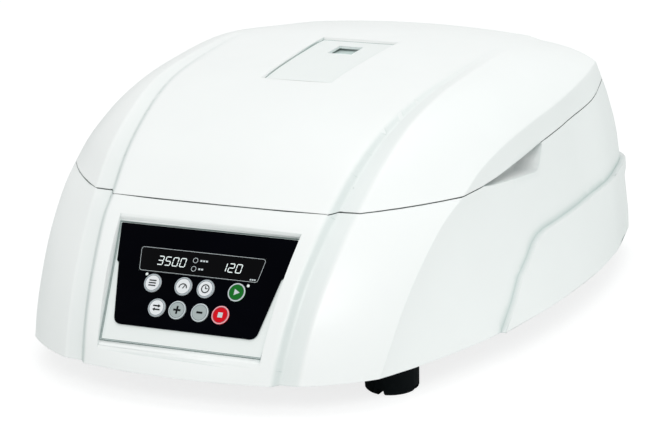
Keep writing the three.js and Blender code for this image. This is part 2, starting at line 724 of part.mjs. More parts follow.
// Recess in the front of the base, with a cove above the panel
const coveProfile = Array.from({ length: COVE_STEPS + 1 }, (_, i) => {
  const turn = (i / COVE_STEPS) * Math.PI / 2;
  return [
    PANEL_LENGTH + PANEL_GAP + RECESS_ABOVE * (1 - Math.cos(turn)),
    COVE_DEPTH * Math.sin(turn),
  ];
});
const chinProfile = Array.from({ length: COVE_STEPS + 1 }, (_, i) => {
  const turn = (1 - i / COVE_STEPS) * Math.PI / 2;
  return [-PANEL_GAP - CHIN_LENGTH * Math.sin(turn), CHIN_DEPTH * (1 - Math.cos(turn))];
});
const recessSide = [
  ...chinProfile, ...coveProfile,
  [PANEL_LENGTH + PANEL_GAP + RECESS_ABOVE, OVERRUN], [-PANEL_GAP - CHIN_LENGTH, OVERRUN],
];
function panelSideCut(points, half) {
  const geometry = new THREE.ExtrudeGeometry(outline(points), { depth: 2 * half, bevelEnabled: false });
  const axes = new THREE.Matrix4().makeBasis(
    new THREE.Vector3(0, 1, 0), new THREE.Vector3(0, 0, 1), new THREE.Vector3(1, 0, 0));
  axes.setPosition(-half, 0, 0);
  return solid(geometry, panelFrame.clone().multiply(axes));
}
const recessTop = PANEL_LENGTH + PANEL_GAP + RECESS_ABOVE;
const recessPlan = panelTrapezoid(-CHIN_LENGTH - PANEL_GAP, recessTop + PANEL_GAP, PANEL_GAP);
const recessCut = panelSideCut(recessSide, farX).intersect(panelPrism(recessPlan, -OVERRUN, OVERRUN));
const pocketCut = panelPrism(
  panelTrapezoid(-PANEL_GAP, PANEL_LENGTH + PANEL_GAP, PANEL_GAP), ledgeTop, OVERRUN)
  .intersect(panelSideCut([[-OVERRUN, ledgeTop], [PANEL_LENGTH + PANEL_GAP, ledgeTop],
    [PANEL_LENGTH + PANEL_GAP, WELD], [-OVERRUN, WELD]], farX));
const panelBacking = panelPrism(
  panelTrapezoid(-CHIN_LENGTH, recessTop + WALL, WALL + PANEL_GAP), ledgeTop - WALL, OVERRUN);
const panelWindow = panelPrism(panelTrapezoid(PANEL_LEDGE, PANEL_LENGTH - PANEL_LEDGE, -PANEL_LEDGE),
  ledgeTop - WALL - OVERRUN, ledgeTop + WALL);

// Finger recesses on both sides
const fingerOutline = fingerShares.map(sidePlace);
const fingerX = FINGER_SIDE_SHARE * SKIN_HALF - FINGER_DEPTH;
const fingerCut = joined([prismX(fingerOutline, fingerX, farX), prismX(fingerOutline, -farX, -fingerX)]);
const fingerBackOutline = (grow) => fingerOutline.map(([y, z], i) => {
  const atFront = i === 0 || i === fingerOutline.length - 1;
  const onFloor = i < fingerOutline.length - 2;
  const reach = WALL + grow;
  return [y + (atFront ? -reach : i === 1 ? -grow : reach), onFloor ? z - reach : z];
});
const fingerBacking = (grow) => joined([
  prismX(fingerBackOutline(grow), fingerX - WALL - grow, farX),
  prismX(fingerBackOutline(grow), -farX, -fingerX + WALL + grow),
]);

// Rear recess for the inlet and the switch
const rearFace = placeY(1) + REAR_RELIEF;
const serviceFace = rearFace - SERVICE_DEPTH;
const serviceLow = FOOT_HEIGHT + SERVICE_LOW;
const serviceHigh = serviceLow + SERVICE_HEIGHT;
const serviceMiddle = (serviceLow + serviceHigh) / 2;
const serviceCut = block(
  -SERVICE_HALF, SERVICE_HALF, serviceFace, rearFace + OVERRUN, serviceLow, serviceHigh);
const serviceBacking = block(-SERVICE_HALF - WALL, SERVICE_HALF + WALL, serviceFace - WALL,
  rearFace + OVERRUN, serviceLow - WALL, serviceHigh + WALL);
const inletHole = block(-SERVICE_OFFSET - INLET_BODY_HALF - FIT, -SERVICE_OFFSET + INLET_BODY_HALF + FIT,
  serviceFace - OVERRUN, serviceFace + WALL,
  serviceMiddle - INLET_BODY_HEIGHT / 2 - FIT, serviceMiddle + INLET_BODY_HEIGHT / 2 + FIT);
const bezelHole = block(SERVICE_OFFSET - BEZEL_BODY_HALF - FIT, SERVICE_OFFSET + BEZEL_BODY_HALF + FIT,
  serviceFace - OVERRUN, serviceFace + WALL,
  serviceMiddle - BEZEL_BODY_HEIGHT / 2 - FIT, serviceMiddle + BEZEL_BODY_HEIGHT / 2 + FIT);

// Rear vents
const ventSlots = joined(Array.from({ length: VENT_COUNT }, (_, i) => {
  const x = (i - (VENT_COUNT - 1) / 2) * VENT_PITCH;
  return block(x - VENT_WIDTH / 2, x + VENT_WIDTH / 2, rearFace - OVERRUN, rearFace + OVERRUN,
    placeZ(VENT_LOW_SHARE), placeZ(VENT_HIGH_SHARE));
}));

// Base housing
const hingeNotch = block(-NOTCH_HALF, NOTCH_HALF, placeY(NOTCH_FRONT_SHARE), rearFace + OVERRUN,
  hingeZ - NOTCH_DEPTH, roofZ);
const baseHollow = cut(innerSkin.add(bandInner), [panelBacking, fingerBacking(0), serviceBacking]);
const baseHousing = cut(outerSkin.add(bandOuter), [
  aboveSeam(-SEAM_GAP / 2), recessCut, pocketCut, panelWindow, fingerCut, serviceCut,
  inletHole, bezelHole, ventSlots, hingeNotch, baseHollow,
]);
piece('base_housing', baseHousing, finish.shell);

// Base plate with air slots
const footSpots = [
  ['foot_front_left', -FOOT_X_SHARE, FOOT_FRONT_SHARE], ['foot_front_right', FOOT_X_SHARE, FOOT_FRONT_SHARE],
  ['foot_rear_left', -FOOT_X_SHARE, FOOT_REAR_SHARE], ['foot_rear_right', FOOT_X_SHARE, FOOT_REAR_SHARE],
];
const plateSlots = joined([-1, 1].flatMap((side) => Array.from({ length: PLATE_SLOT_COUNT }, (_, i) => {
  const x = side * (MOTOR_RADIUS + PLATE_SLOT_PITCH * (i + 1));
  return block(x - PLATE_SLOT_WIDTH / 2, x + PLATE_SLOT_WIDTH / 2,
    axisY - PLATE_SLOT_LENGTH / 2, axisY + PLATE_SLOT_LENGTH / 2, FOOT_HEIGHT - OVERRUN, plateTop + OVERRUN);
})));
const plateBody = skinSolid(insideSkin, -WALL - FIT, OVERRUN)
  .intersect(block(-farX, farX, -BODY_DEPTH, BODY_DEPTH, plateUnder, plateTop))
  .subtract(panelBacking).subtract(serviceBacking);
piece('base_plate', plateBody.subtract(plateSlots), finish.sheet);

// Feet with a crossed slot in the tread
const footTop = plateUnder - FIT;
const footCross = [
  block(-FOOT_SLOT / 2, FOOT_SLOT / 2, -OVERRUN, OVERRUN, -OVERRUN, FOOT_SLOT_HEIGHT),
  block(-OVERRUN, OVERRUN, -FOOT_SLOT / 2, FOOT_SLOT / 2, -OVERRUN, FOOT_SLOT_HEIGHT),
];
const footBody = cut(turned([
  [0, 0], [FOOT_RADIUS - FOOT_TAPER - FOOT_CHAMFER, 0], [FOOT_RADIUS - FOOT_TAPER, FOOT_CHAMFER],
  [FOOT_RADIUS, footTop], [0, footTop],
], ROUND), footCross);
for (const [name, x, y] of footSpots) {
  piece(name, geometryOf(footBody), finish.rubber).position.set(placeX(x), placeY(y), 0);
}

// Deck round the bowl
const lockSlotHalf = STRIKER_HALF + SLOT_MARGIN;
const lockSlot = block(-lockSlotHalf, lockSlotHalf, lockY - SLOT_REACH, lockY + STRIKER_LIP + SLOT_MARGIN,
  deckUnder - OVERRUN, roofZ);
const deck = cut(fitSkin.intersect(block(-farX, farX, -BODY_DEPTH, BODY_DEPTH, deckUnder, deckTop)), [
  disc(bowlRadius + BOWL_WALL + DECK_CLEARANCE, deckUnder - OVERRUN, deckTop + OVERRUN, ROUND, 0, axisY),
  fingerBacking(FIT), lockSlot, panelBacking,
]);
piece('deck_panel', deck, finish.liner);

// Bowl with a rolled corner and a raised hub
const corner = (radius, direction) => Array.from({ length: CORNER_STEPS + 1 }, (_, i) => {
  const turn = (i / CORNER_STEPS) * Math.PI / 2;
  const [x, z] = [bowlRadius - BOWL_CORNER + radius * Math.sin(turn),
    bowlFloor + BOWL_CORNER - radius * Math.cos(turn)];
  return [x, z];
}).sort((a, b) => direction * (a[0] - b[0]));
const bowl = turned([
  [BOWL_HOLE, bowlFloor + BOWL_HUB_RISE], [BOWL_HUB_RADIUS, bowlFloor + BOWL_HUB_RISE],
  [BOWL_HUB_RADIUS + BOWL_HUB_RISE, bowlFloor],
  ...corner(BOWL_CORNER, 1), [bowlRadius, bowlRim],
  [bowlRadius + BOWL_FLANGE, bowlRim], [bowlRadius + BOWL_FLANGE, bowlRim - BOWL_WALL],
  [bowlRadius + BOWL_WALL, bowlRim - BOWL_WALL],
  ...corner(BOWL_CORNER + BOWL_WALL, -1),
  [BOWL_HUB_RADIUS + BOWL_HUB_RISE - BOWL_WALL, bowlFloor - BOWL_WALL],
  [BOWL_HUB_RADIUS - BOWL_WALL, bowlFloor + BOWL_HUB_RISE - BOWL_WALL],
  [BOWL_HOLE, bowlFloor + BOWL_HUB_RISE - BOWL_WALL], [BOWL_HOLE, bowlFloor + BOWL_HUB_RISE],
], ROUND, 0, axisY);
piece('chamber_bowl', bowl, finish.steel);

// Chamber gasket on the bowl flange
const gasketInner = bowlRadius + (BOWL_FLANGE - GASKET_WIDTH) / 2;
const gasketLow = bowlRim + FIT;
const gasketHigh = gasketLow + GASKET_HEIGHT;
const gasketLip = GASKET_WIDTH * gasketLipShare;
piece('chamber_gasket', turned([
  [gasketInner, gasketLow], [gasketInner + GASKET_WIDTH, gasketLow],
  [gasketInner + GASKET_WIDTH, gasketHigh - gasketLip], [gasketInner + GASKET_WIDTH - gasketLip, gasketHigh],
  [gasketInner + gasketLip, gasketHigh], [gasketInner, gasketHigh - gasketLip], [gasketInner, gasketLow],
], ROUND, 0, axisY), finish.rubber);

// Motor on its carrier and rubber dampers
const motorLow = plateTop + MOTOR_CLEARANCE;
const motorHigh = bowlFloor - BOWL_WALL - MOTOR_TOP_GAP;
const carrierTop = THREE.MathUtils.lerp(plateTop, motorHigh, MOTOR_FLANGE_SHARE);
const carrierUnder = carrierTop - CARRIER_THICKNESS;
const damperHeight = carrierUnder - plateTop - 2 * FIT;
const motorRing = [];
for (let i = 0; i < MOTOR_RIBS * 2; i += 1) {
  const radius = MOTOR_RADIUS - (i % 2) * MOTOR_RIB_DEPTH;
  for (const part of motorRibShares) {
    const turn = ((i + part) / (MOTOR_RIBS * 2)) * Math.PI * 2;
    motorRing.push([radius * Math.cos(turn), axisY + radius * Math.sin(turn)]);
  }
}
const motorFlange = disc(MOTOR_RADIUS + MOTOR_FLANGE_WIDTH, carrierTop + FIT,
  carrierTop + FIT + CARRIER_THICKNESS, ROUND, 0, axisY);
const shaftFoot = motorLow + MOTOR_BASE_THICKNESS;
const shaftBore = disc(SHAFT_RADIUS + SHAFT_STEP + SLIDE_FIT, shaftFoot, roofZ, SMALL_ROUND, 0, axisY);
const motorCase = prismZ(motorRing, motorLow, motorHigh).add(motorFlange).subtract(shaftBore);
piece('motor_housing', motorCase, finish.motor);
const carrierHole = disc(
  MOTOR_RADIUS + FIT, carrierUnder - OVERRUN, carrierTop + OVERRUN, ROUND, 0, axisY);
const carrier = disc(CARRIER_RADIUS, carrierUnder, carrierTop, ROUND, 0, axisY).subtract(carrierHole);
piece('motor_carrier', carrier, finish.sheet);
const [damperLowBend, damperHighBend] = damperBendShares.map((share) => share * damperHeight);
const damperWaist = DAMPER_RADIUS * DAMPER_WAIST_SHARE;
const damperProfile = [
  [0, 0], [DAMPER_RADIUS, 0], [damperWaist, damperLowBend], [damperWaist, damperHighBend],
  [DAMPER_RADIUS, damperHeight], [0, damperHeight],
];
for (let i = 0; i < DAMPER_COUNT; i += 1) {
  const turn = ((i + 1 / 2) / DAMPER_COUNT) * Math.PI * 2;
  piece(`damper_${i + 1}`, geometryOf(turned(damperProfile, TINY_ROUND)), finish.rubber).position.set(
    DAMPER_CIRCLE * Math.cos(turn), axisY + DAMPER_CIRCLE * Math.sin(turn), plateTop + FIT);
}

// Rotor levels: hub, plate, sleeves and nut all turn with the motor shaft
const rotorRadius = bowlRadius - ROTOR_CLEARANCE;
const rotorLow = bowlFloor + ROTOR_LIFT;
const rotorHigh = rotorLow + ROTOR_HEIGHT;
const rotorUnder = rotorHigh - ROTOR_PLATE_THICKNESS;
const nutLow = rotorHigh + FIT;
const shaftTop = nutLow + NUT_HEIGHT - NUT_CROWN - FIT;
const spindle = turned([
  [0, shaftFoot + SLIDE_FIT], [SHAFT_RADIUS + SHAFT_STEP, shaftFoot + SLIDE_FIT],
  [SHAFT_RADIUS + SHAFT_STEP, rotorLow - FIT], [SHAFT_RADIUS, rotorLow - FIT],
  [SHAFT_RADIUS, shaftTop - SHAFT_STEP], [SHAFT_RADIUS - SHAFT_STEP, shaftTop], [0, shaftTop],
], SMALL_ROUND, 0, axisY);
piece('motor_shaft', spindle, finish.steel);

// Rotor hub with a flange under the plate
const hubTop = rotorUnder - FIT;
const shaftHole = SHAFT_RADIUS + FIT;
piece('rotor_hub', turned([
  [shaftHole, rotorLow], [HUB_RADIUS - ROTOR_CHAMFER, rotorLow], [HUB_RADIUS, rotorLow + ROTOR_CHAMFER],
  [HUB_RADIUS, hubTop - HUB_FLANGE_HEIGHT], [HUB_FLANGE_RADIUS, hubTop - HUB_FLANGE_HEIGHT],
  [HUB_FLANGE_RADIUS, hubTop], [shaftHole, hubTop], [shaftHole, rotorLow],
], ROUND, 0, axisY), finish.alloy);

// Rotor plate with eight slanted seats, and the tube sleeves that hang in them
const tubeTilt = radians(TUBE_TILT_DEGREES);
const headRadius = TUBE_HEAD_RADIUS_SHARE * rotorRadius;
const headHeight = rotorHigh - TUBE_SEAT_SINK;
function tubeMatrix(i) {
  const turn = (i / TUBE_COUNT) * Math.PI * 2;
  return new THREE.Matrix4().makeTranslation(0, axisY, 0)
    .multiply(new THREE.Matrix4().makeRotationZ(turn))
    .multiply(new THREE.Matrix4().makeTranslation(headRadius, 0, headHeight))
    .multiply(new THREE.Matrix4().makeRotationY(-tubeTilt));
}
const boreRadius = TUBE_RADIUS + SLIDE_FIT;
const seatRadius = boreRadius + TUBE_COLLAR;
const boreGeometry = turnedGeometry([
  [0, -TUBE_LENGTH], [boreRadius, -TUBE_LENGTH], [boreRadius, OVERRUN], [0, OVERRUN]], TINY_ROUND);
const seatGeometry = turnedGeometry(
  [[0, 0], [seatRadius, 0], [seatRadius, OVERRUN], [0, OVERRUN]], TINY_ROUND);
const bores = Array.from(
  { length: TUBE_COUNT }, (_, i) => [boreGeometry, seatGeometry].map((g) => solid(g, tubeMatrix(i)))).flat();
const plateEdge = rotorRadius - ROTOR_CHAMFER;
const rotorPlate = turned([
  [shaftHole, rotorUnder], [plateEdge, rotorUnder], [rotorRadius, rotorUnder + ROTOR_CHAMFER],
  [rotorRadius, rotorHigh - ROTOR_CHAMFER], [plateEdge, rotorHigh],
  [shaftHole, rotorHigh], [shaftHole, rotorUnder],
], ROUND, 0, axisY);
piece('rotor_plate', cut(rotorPlate, bores), finish.alloy);

const sleeveInner = TUBE_RADIUS - TUBE_WALL;
const collarRadius = TUBE_RADIUS + TUBE_COLLAR;
const sleeveProfile = [
  [0, -TUBE_LENGTH], [TUBE_RADIUS, -TUBE_LENGTH], [TUBE_RADIUS, FIT], [collarRadius, FIT],
  [collarRadius, TUBE_COLLAR_HEIGHT], [sleeveInner, TUBE_COLLAR_HEIGHT],
  [sleeveInner, -TUBE_LENGTH + TUBE_WALL], [0, -TUBE_LENGTH + TUBE_WALL],
];
for (let i = 0; i < TUBE_COUNT; i += 1) {
  piece(`tube_sleeve_${i + 1}`, geometryOf(turned(sleeveProfile, TINY_ROUND)), finish.sleeve)
    .applyMatrix4(tubeMatrix(i));
}

// Rotor nut with finger lobes
const nutRing = Array.from({ length: ROUND }, (_, i) => {
  const turn = (i / ROUND) * Math.PI * 2;
  const radius = NUT_RADIUS - NUT_LOBE_DEPTH * (1 + Math.cos(turn * NUT_LOBES)) / 2;
  return [radius * Math.cos(turn), axisY + radius * Math.sin(turn)];
});
piece('rotor_nut', prismZ(nutRing, nutLow, nutLow + NUT_HEIGHT)
  .subtract(disc(shaftHole, nutLow - OVERRUN, shaftTop + FIT, SMALL_ROUND, 0, axisY)), finish.black);

// Control panel plate, overlay, display and lamps
const holesAt = (spots, radius, low, segments) => spots.map(
  (spot) => panelDisc(radius, low, OVERRUN, ...keyPlace(spot), segments));
const panelHoles = (low) => [
  ...holesAt(keyTable, KEY_RADIUS + SLIDE_FIT, low, SMALL_ROUND),
  ...holesAt(ledTable, LED_RADIUS + FIT, low, TINY_ROUND),
];
const panelPlate = cut(panelPrism(panelTrapezoid(0, PANEL_LENGTH), panelBack, 0), [
  ...panelHoles(panelBack - OVERRUN), panelPrism(grown(moduleOutline, FIT), panelBack - OVERRUN, OVERRUN),
]);
piece('panel_plate', panelPlate, finish.shell);

const overlayHalf = overlayShares.map(([u, v]) => [u * PANEL_HALF_TOP, v * PANEL_LENGTH]);
const overlayOutline = [...overlayHalf, ...[...overlayHalf].reverse().map(([u, v]) => [-u, v])];
const overlay = cut(panelPrism(overlayOutline, overlayLift, overlayTop), [
  ...panelHoles(-OVERRUN), panelPrism(grown(displayOutline, FIT), -OVERRUN, OVERRUN),
]);
piece('membrane_overlay', overlay, finish.overlay);
piece('display_lens', panelPrism(displayOutline, overlayLift, overlayTop), finish.lens);
piece('display_module', panelPrism(moduleOutline, boardFront + FIT, -FIT), finish.black);
for (const led of ledTable) {
  const [u, v] = keyPlace(led);
  piece(led.name, panelDisc(LED_RADIUS, panelBack, overlayTop, u, v, TINY_ROUND), finish.lamp);
}

// Control board with a switch behind each key
const [boardLowV, boardHighV] = boardShares.map((share) => share * PANEL_LENGTH);
const boardHalf = moduleHalf + PANEL_LEDGE;
const boardPlate = panelPrism([
  [-boardHalf, boardLowV], [boardHalf, boardLowV], [boardHalf, boardHighV], [-boardHalf, boardHighV],
], boardBack, boardFront);
const switches = keyTable.map((key) => {
  const [u, v] = keyPlace(key);
  const half = SWITCH_SIDE / 2;
  return panelPrism([[u - half, v - half], [u + half, v - half], [u + half, v + half], [u - half, v + half]],
    boardFront - BOARD_THICKNESS / 2, switchTop);
});
piece('control_board', joined([boardPlate, ...switches]), finish.board);

// Keys, each one a cap with a flange behind the plate
const keyGeometry = turnedGeometry([
  [0, flangeBack], [KEY_RADIUS + KEY_FLANGE, flangeBack], [KEY_RADIUS + KEY_FLANGE, flangeTop],
  [KEY_RADIUS, flangeTop], [KEY_RADIUS, overlayTop + KEY_PROUD], [0, overlayTop + KEY_PROUD],
], SMALL_ROUND);
for (const key of keyTable) {
  const [u, v] = keyPlace(key);
  piece(key.name, geometryOf(solid(keyGeometry)), { color: key.color, roughness: 0.35, metalness: 0 })
    .applyMatrix4(panelFrame.clone().multiply(new THREE.Matrix4().makeTranslation(u, v, 0)));
}

// Lid top plate in its channel, following the crown of the lid
const channelFront = placeY(LID_CHANNEL_FRONT_SHARE);
const channelRear = placeY(LID_CHANNEL_REAR_SHARE);
const lidPlateFront = placeY(LID_PLATE_FRONT_SHARE);
const lidPlateRear = placeY(LID_PLATE_REAR_SHARE);
const lidPlateHalf = (y) => THREE.MathUtils.mapLinear(
  y, lidPlateFront, lidPlateRear, LID_PLATE_HALF_FRONT, LID_PLATE_HALF_REAR);
const lidLine = (front, rear, depth) => Array.from({ length: CHANNEL_STEPS + 1 }, (_, i) => {
  const y = THREE.MathUtils.lerp(front, rear, i / CHANNEL_STEPS);
  return [y, lidHeight(y) - depth];
});
const lidPlan = (front, rear, grow) => prismZ([
  [-lidPlateHalf(front) - grow, front], [lidPlateHalf(front) + grow, front],
  [lidPlateHalf(rear) + grow, rear], [-lidPlateHalf(rear) - grow, rear],
], FOOT_HEIGHT, roofZ);
const lidSlab = (front, rear, depth, thickness, grow) => {
  const upper = thickness === null ? [[rear, roofZ], [front, roofZ]]
    : lidLine(front, rear, depth).reverse();
  const lower = lidLine(front, rear, thickness === null ? depth : depth + thickness);
  return prismX([...lower, ...upper], -farX, farX).intersect(lidPlan(front, rear, grow));
};
const channelCut = lidSlab(lidPlateFront, lidPlateRear, LID_CHANNEL_DEPTH, null, 0);
const rampCut = (edge, end) => {
  const points = [
    [edge, lidHeight(edge) - LID_CHANNEL_DEPTH], [end, lidHeight(end) + WELD],
    [end, roofZ], [edge, roofZ],
  ];
  const [front, rear] = [Math.min(edge, end), Math.max(edge, end)];
  return prismX(points, -farX, farX).intersect(lidPlan(front, rear, 0));
};
const plateDepth = LID_CHANNEL_DEPTH + LID_PLATE_THICKNESS;
const plateCut = lidSlab(lidPlateFront, lidPlateRear, plateDepth + FIT, null, 0);
const windowFront = placeY(WINDOW_FRONT_SHARE);
const windowRear = placeY(WINDOW_REAR_SHARE);
const windowCut = block(-WINDOW_HALF, WINDOW_HALF, windowFront, windowRear, FOOT_HEIGHT, roofZ);
const paneTop = Math.min(lidHeight(windowFront), lidHeight(windowRear)) - plateDepth - 2 * FIT - PANE_SEAT;
const paneUnder = paneTop - PANE_THICKNESS;
const paneHalf = WINDOW_HALF + PANE_MARGIN;
const paneCut = block(-paneHalf - FIT, paneHalf + FIT, windowFront - PANE_MARGIN - FIT,
  windowRear + PANE_MARGIN + FIT, paneUnder - FIT, roofZ);
const lidBacking = lidSlab(lidPlateFront - WALL, lidPlateRear + WALL, plateDepth + FIT + WALL, null, WALL)
  .add(block(-paneHalf - WALL, paneHalf + WALL, windowFront - PANE_MARGIN - WALL,
    windowRear + PANE_MARGIN + WALL, paneUnder - FIT - WALL, roofZ));
piece('lid_top_plate', lidSlab(lidPlateFront + LID_PLATE_GAP, lidPlateRear - LID_PLATE_GAP,
  LID_CHANNEL_DEPTH, LID_PLATE_THICKNESS, -LID_PLATE_GAP).subtract(windowCut), finish.shell);
piece('sight_window', block(-paneHalf, paneHalf, windowFront - PANE_MARGIN, windowRear + PANE_MARGIN,
  paneUnder, paneTop), finish.glass);

// Lid shell
const lidHollow = innerSkin.subtract(lidBacking);
const lidShell = cut(outerSkin.intersect(aboveSeam(SEAM_GAP / 2)), [
  channelCut, rampCut(lidPlateFront, channelFront), rampCut(lidPlateRear, channelRear),
  plateCut, paneCut, windowCut, lidHollow,
]);
piece('lid_shell', lidShell, finish.shell);

// Lid liner: a flat ring over the gasket with posts up to the lid
const linerRear = placeY(LINER_REAR_SHARE);
const domeFoot = bowlRadius - DOME_INSET;
const domeHead = domeFoot - DOME_SLOPE;
const domeTop = linerTop + DOME_HEIGHT;
const linerSection = placeZ(LINER_SECTION_SHARE);
const linerFlat = cut(linerSkin.intersect(
  block(-farX, farX, -BODY_DEPTH, linerRear, linerSection, linerSection + LINER_THICKNESS),
).translate(0, 0, linerUnder - linerSection), [
  disc(domeFoot + FIT, linerUnder - OVERRUN, linerTop + OVERRUN, ROUND, 0, axisY), fingerBacking(LINER_SWING),
]);
const linerPosts = joined(linerPostShares.flatMap(([x, y]) => [-x, x].map(
  (share) => disc(LINER_POST_RADIUS, linerUnder, roofZ, TINY_ROUND, placeX(share), placeY(y)),
))).intersect(fitSkin);
piece('lid_liner', linerFlat.add(linerPosts), finish.liner);

// Dome above the rotor, its lip lying on the liner
const lipUnder = linerTop + FIT;
const lipTop = lipUnder + LINER_THICKNESS;
const dome = turned([
  [0, domeTop - LINER_THICKNESS], [domeHead - LINER_THICKNESS, domeTop - LINER_THICKNESS],
  [domeFoot - LINER_THICKNESS, linerUnder], [domeFoot, linerUnder], [domeFoot, lipUnder],
  [domeFoot + DOME_LIP, lipUnder], [domeFoot + DOME_LIP, lipTop], [domeFoot, lipTop],
  [domeHead, domeTop], [0, domeTop],
], ROUND, 0, axisY);
piece('lid_dome', dome.subtract(windowCut), finish.liner);

// Striker under the front of the liner, with a window for the bolt
const strikerTop = linerUnder - FIT;
const strikerLow = strikerTop - STRIKER_DROP;
const strikerWindowLow = strikerLow + STRIKER_LIP;
const strikerBlade = block(
  -STRIKER_HALF, STRIKER_HALF, lockY, lockY + STRIKER_THICKNESS, strikerLow, strikerTop);
const strikerFoot = block(-STRIKER_FOOT, STRIKER_FOOT, lockY, lockY + STRIKER_FOOT,
  strikerTop - STRIKER_THICKNESS, strikerTop);
const strikerWindow = block(-STRIKER_WINDOW_HALF, STRIKER_WINDOW_HALF, lockY - OVERRUN, lockY + OVERRUN,
  strikerWindowLow, strikerWindowLow + STRIKER_WINDOW_HEIGHT);
piece('lid_striker', strikerBlade.add(strikerFoot).subtract(strikerWindow), finish.steel);

// Lock body below the deck, with its sliding bolt
const lockTop = deckUnder - FIT;
const lockFront = lockY - SLOT_REACH - LOCK_WALL;
const boltLow = strikerWindowLow + (STRIKER_WINDOW_HEIGHT - BOLT_HEIGHT) / 2;
const boltFront = lockY + STRIKER_THICKNESS + BOLT_SETBACK;
const boltRear = boltFront + BOLT_LENGTH;
const lockBox = block(-LOCK_HALF, LOCK_HALF, lockFront, lockFront + LOCK_LENGTH,
  lockTop - LOCK_HEIGHT, lockTop);
const lockBody = cut(lockBox, [
  block(-lockSlotHalf, lockSlotHalf, lockFront + LOCK_WALL, boltFront - SLIDE_FIT - FIT,
    strikerLow - SLOT_MARGIN, lockTop + OVERRUN),
  block(-BOLT_HALF - SLIDE_FIT, BOLT_HALF + SLIDE_FIT, lockFront + LOCK_WALL, boltRear + SLIDE_FIT,
    boltLow - SLIDE_FIT, boltLow + BOLT_HEIGHT + SLIDE_FIT),
]);
piece('lock_body', lockBody, finish.black);
piece('lock_bolt', block(-BOLT_HALF, BOLT_HALF, boltFront, boltRear, boltLow, boltLow + BOLT_HEIGHT),
  finish.steel);

// Hinges at the rear: two fixed knuckles, one moving knuckle and a pin on each side
const knuckleGap = SLIDE_FIT;
const leafFront = hingeY - LEAF_THICKNESS / 2;
const leafRear = hingeY + LEAF_THICKNESS / 2;
const leafLow = deckTop + FIT;
const web = (x0, x1) => block(x0, x1, leafFront, leafRear, leafLow, hingeZ);
const knuckle = (x0, x1) => rodX(KNUCKLE_RADIUS, x0, x1, hingeY, hingeZ, SMALL_ROUND);
const pinBore = (x0, x1) => rodX(PIN_RADIUS + FIT, x0, x1, hingeY, hingeZ, TINY_ROUND);
for (const [side, name] of [[-1, 'left'], [1, 'right']]) {
  const middle = side * HINGE_X;
  const inner0 = middle - KNUCKLE_LENGTH / 2;
  const inner1 = middle + KNUCKLE_LENGTH / 2;
  const outer0 = inner0 - knuckleGap - KNUCKLE_LENGTH;
  const outer1 = inner1 + knuckleGap + KNUCKLE_LENGTH;
  const baseLeaf = joined([
    block(outer0, outer1, hingeY - HINGE_FOOT_DEPTH, leafRear, leafLow, leafLow + LEAF_THICKNESS),
    web(outer0, inner0 - knuckleGap), web(inner1 + knuckleGap, outer1),
    knuckle(outer0, inner0 - knuckleGap), knuckle(inner1 + knuckleGap, outer1),
  ]).subtract(pinBore(outer0 - OVERRUN, outer1 + OVERRUN));
  piece(`hinge_base_${name}`, baseLeaf, finish.steel);
  const lidLeaf = knuckle(inner0, inner1)
    .add(block(inner0, inner1, hingeY - KNUCKLE_RADIUS, hingeY - KNUCKLE_RADIUS + LEAF_THICKNESS,
      hingeZ, hingeZ + LID_LEAF_HEIGHT))
    .subtract(pinBore(inner0 - OVERRUN, inner1 + OVERRUN));
  piece(`hinge_lid_${name}`, lidLeaf, finish.steel);
  piece(`hinge_pin_${name}`, rodX(PIN_RADIUS, outer0, outer1, hingeY, hingeZ, TINY_ROUND), finish.steel);
}

// Mains inlet with three pins
const flangeFront = serviceFace + FIT;
const inletZ0 = serviceMiddle - INLET_HEIGHT / 2;
const cavityHalf = INLET_BODY_HALF - INLET_WALL;
const cavityHeight = INLET_BODY_HEIGHT - 2 * INLET_WALL;
const inletBody = cut(joined([
  block(-INLET_HALF, INLET_HALF, flangeFront, flangeFront + INLET_FLANGE, inletZ0, inletZ0 + INLET_HEIGHT),
  block(-INLET_BODY_HALF, INLET_BODY_HALF, flangeFront - INLET_BODY_DEPTH, flangeFront + INLET_FLANGE,
    serviceMiddle - INLET_BODY_HEIGHT / 2, serviceMiddle + INLET_BODY_HEIGHT / 2),
]), [block(-cavityHalf, cavityHalf, flangeFront + INLET_FLANGE - INLET_CAVITY, rearFace + OVERRUN,
  serviceMiddle - cavityHeight / 2, serviceMiddle + cavityHeight / 2)]);
const pinShifts = [[-PIN_SPREAD, -PIN_OFFSET / 2], [0, PIN_OFFSET / 2], [PIN_SPREAD, -PIN_OFFSET / 2]];
const inletPins = pinShifts.map(([x, z]) => block(
  x - PIN_HALF, x + PIN_HALF, flangeFront - INLET_BODY_DEPTH + INLET_WALL, flangeFront - PIN_OFFSET,
  serviceMiddle + z - PIN_HEIGHT / 2, serviceMiddle + z + PIN_HEIGHT / 2));
piece('mains_inlet', joined([inletBody, ...inletPins]), finish.black).position.x = -SERVICE_OFFSET;

// Power switch: a bezel and a rocker on a cross axis
const bezelLow = serviceMiddle - SWITCH_BEZEL_HEIGHT / 2;
const bezelBodyLow = serviceMiddle - BEZEL_BODY_HEIGHT / 2;
const bezel = cut(joined([
  block(-SWITCH_BEZEL_HALF, SWITCH_BEZEL_HALF, flangeFront, flangeFront + BEZEL_THICKNESS,
    bezelLow, bezelLow + SWITCH_BEZEL_HEIGHT),
  block(-BEZEL_BODY_HALF, BEZEL_BODY_HALF, flangeFront - BEZEL_BODY_DEPTH, flangeFront + BEZEL_THICKNESS,
    bezelBodyLow, bezelBodyLow + BEZEL_BODY_HEIGHT),
]), [block(-BEZEL_BODY_HALF + BEZEL_WALL, BEZEL_BODY_HALF - BEZEL_WALL,
  flangeFront - BEZEL_BODY_DEPTH + BEZEL_WALL, rearFace + OVERRUN,
  bezelBodyLow + BEZEL_WALL, bezelBodyLow + BEZEL_BODY_HEIGHT - BEZEL_WALL)]);
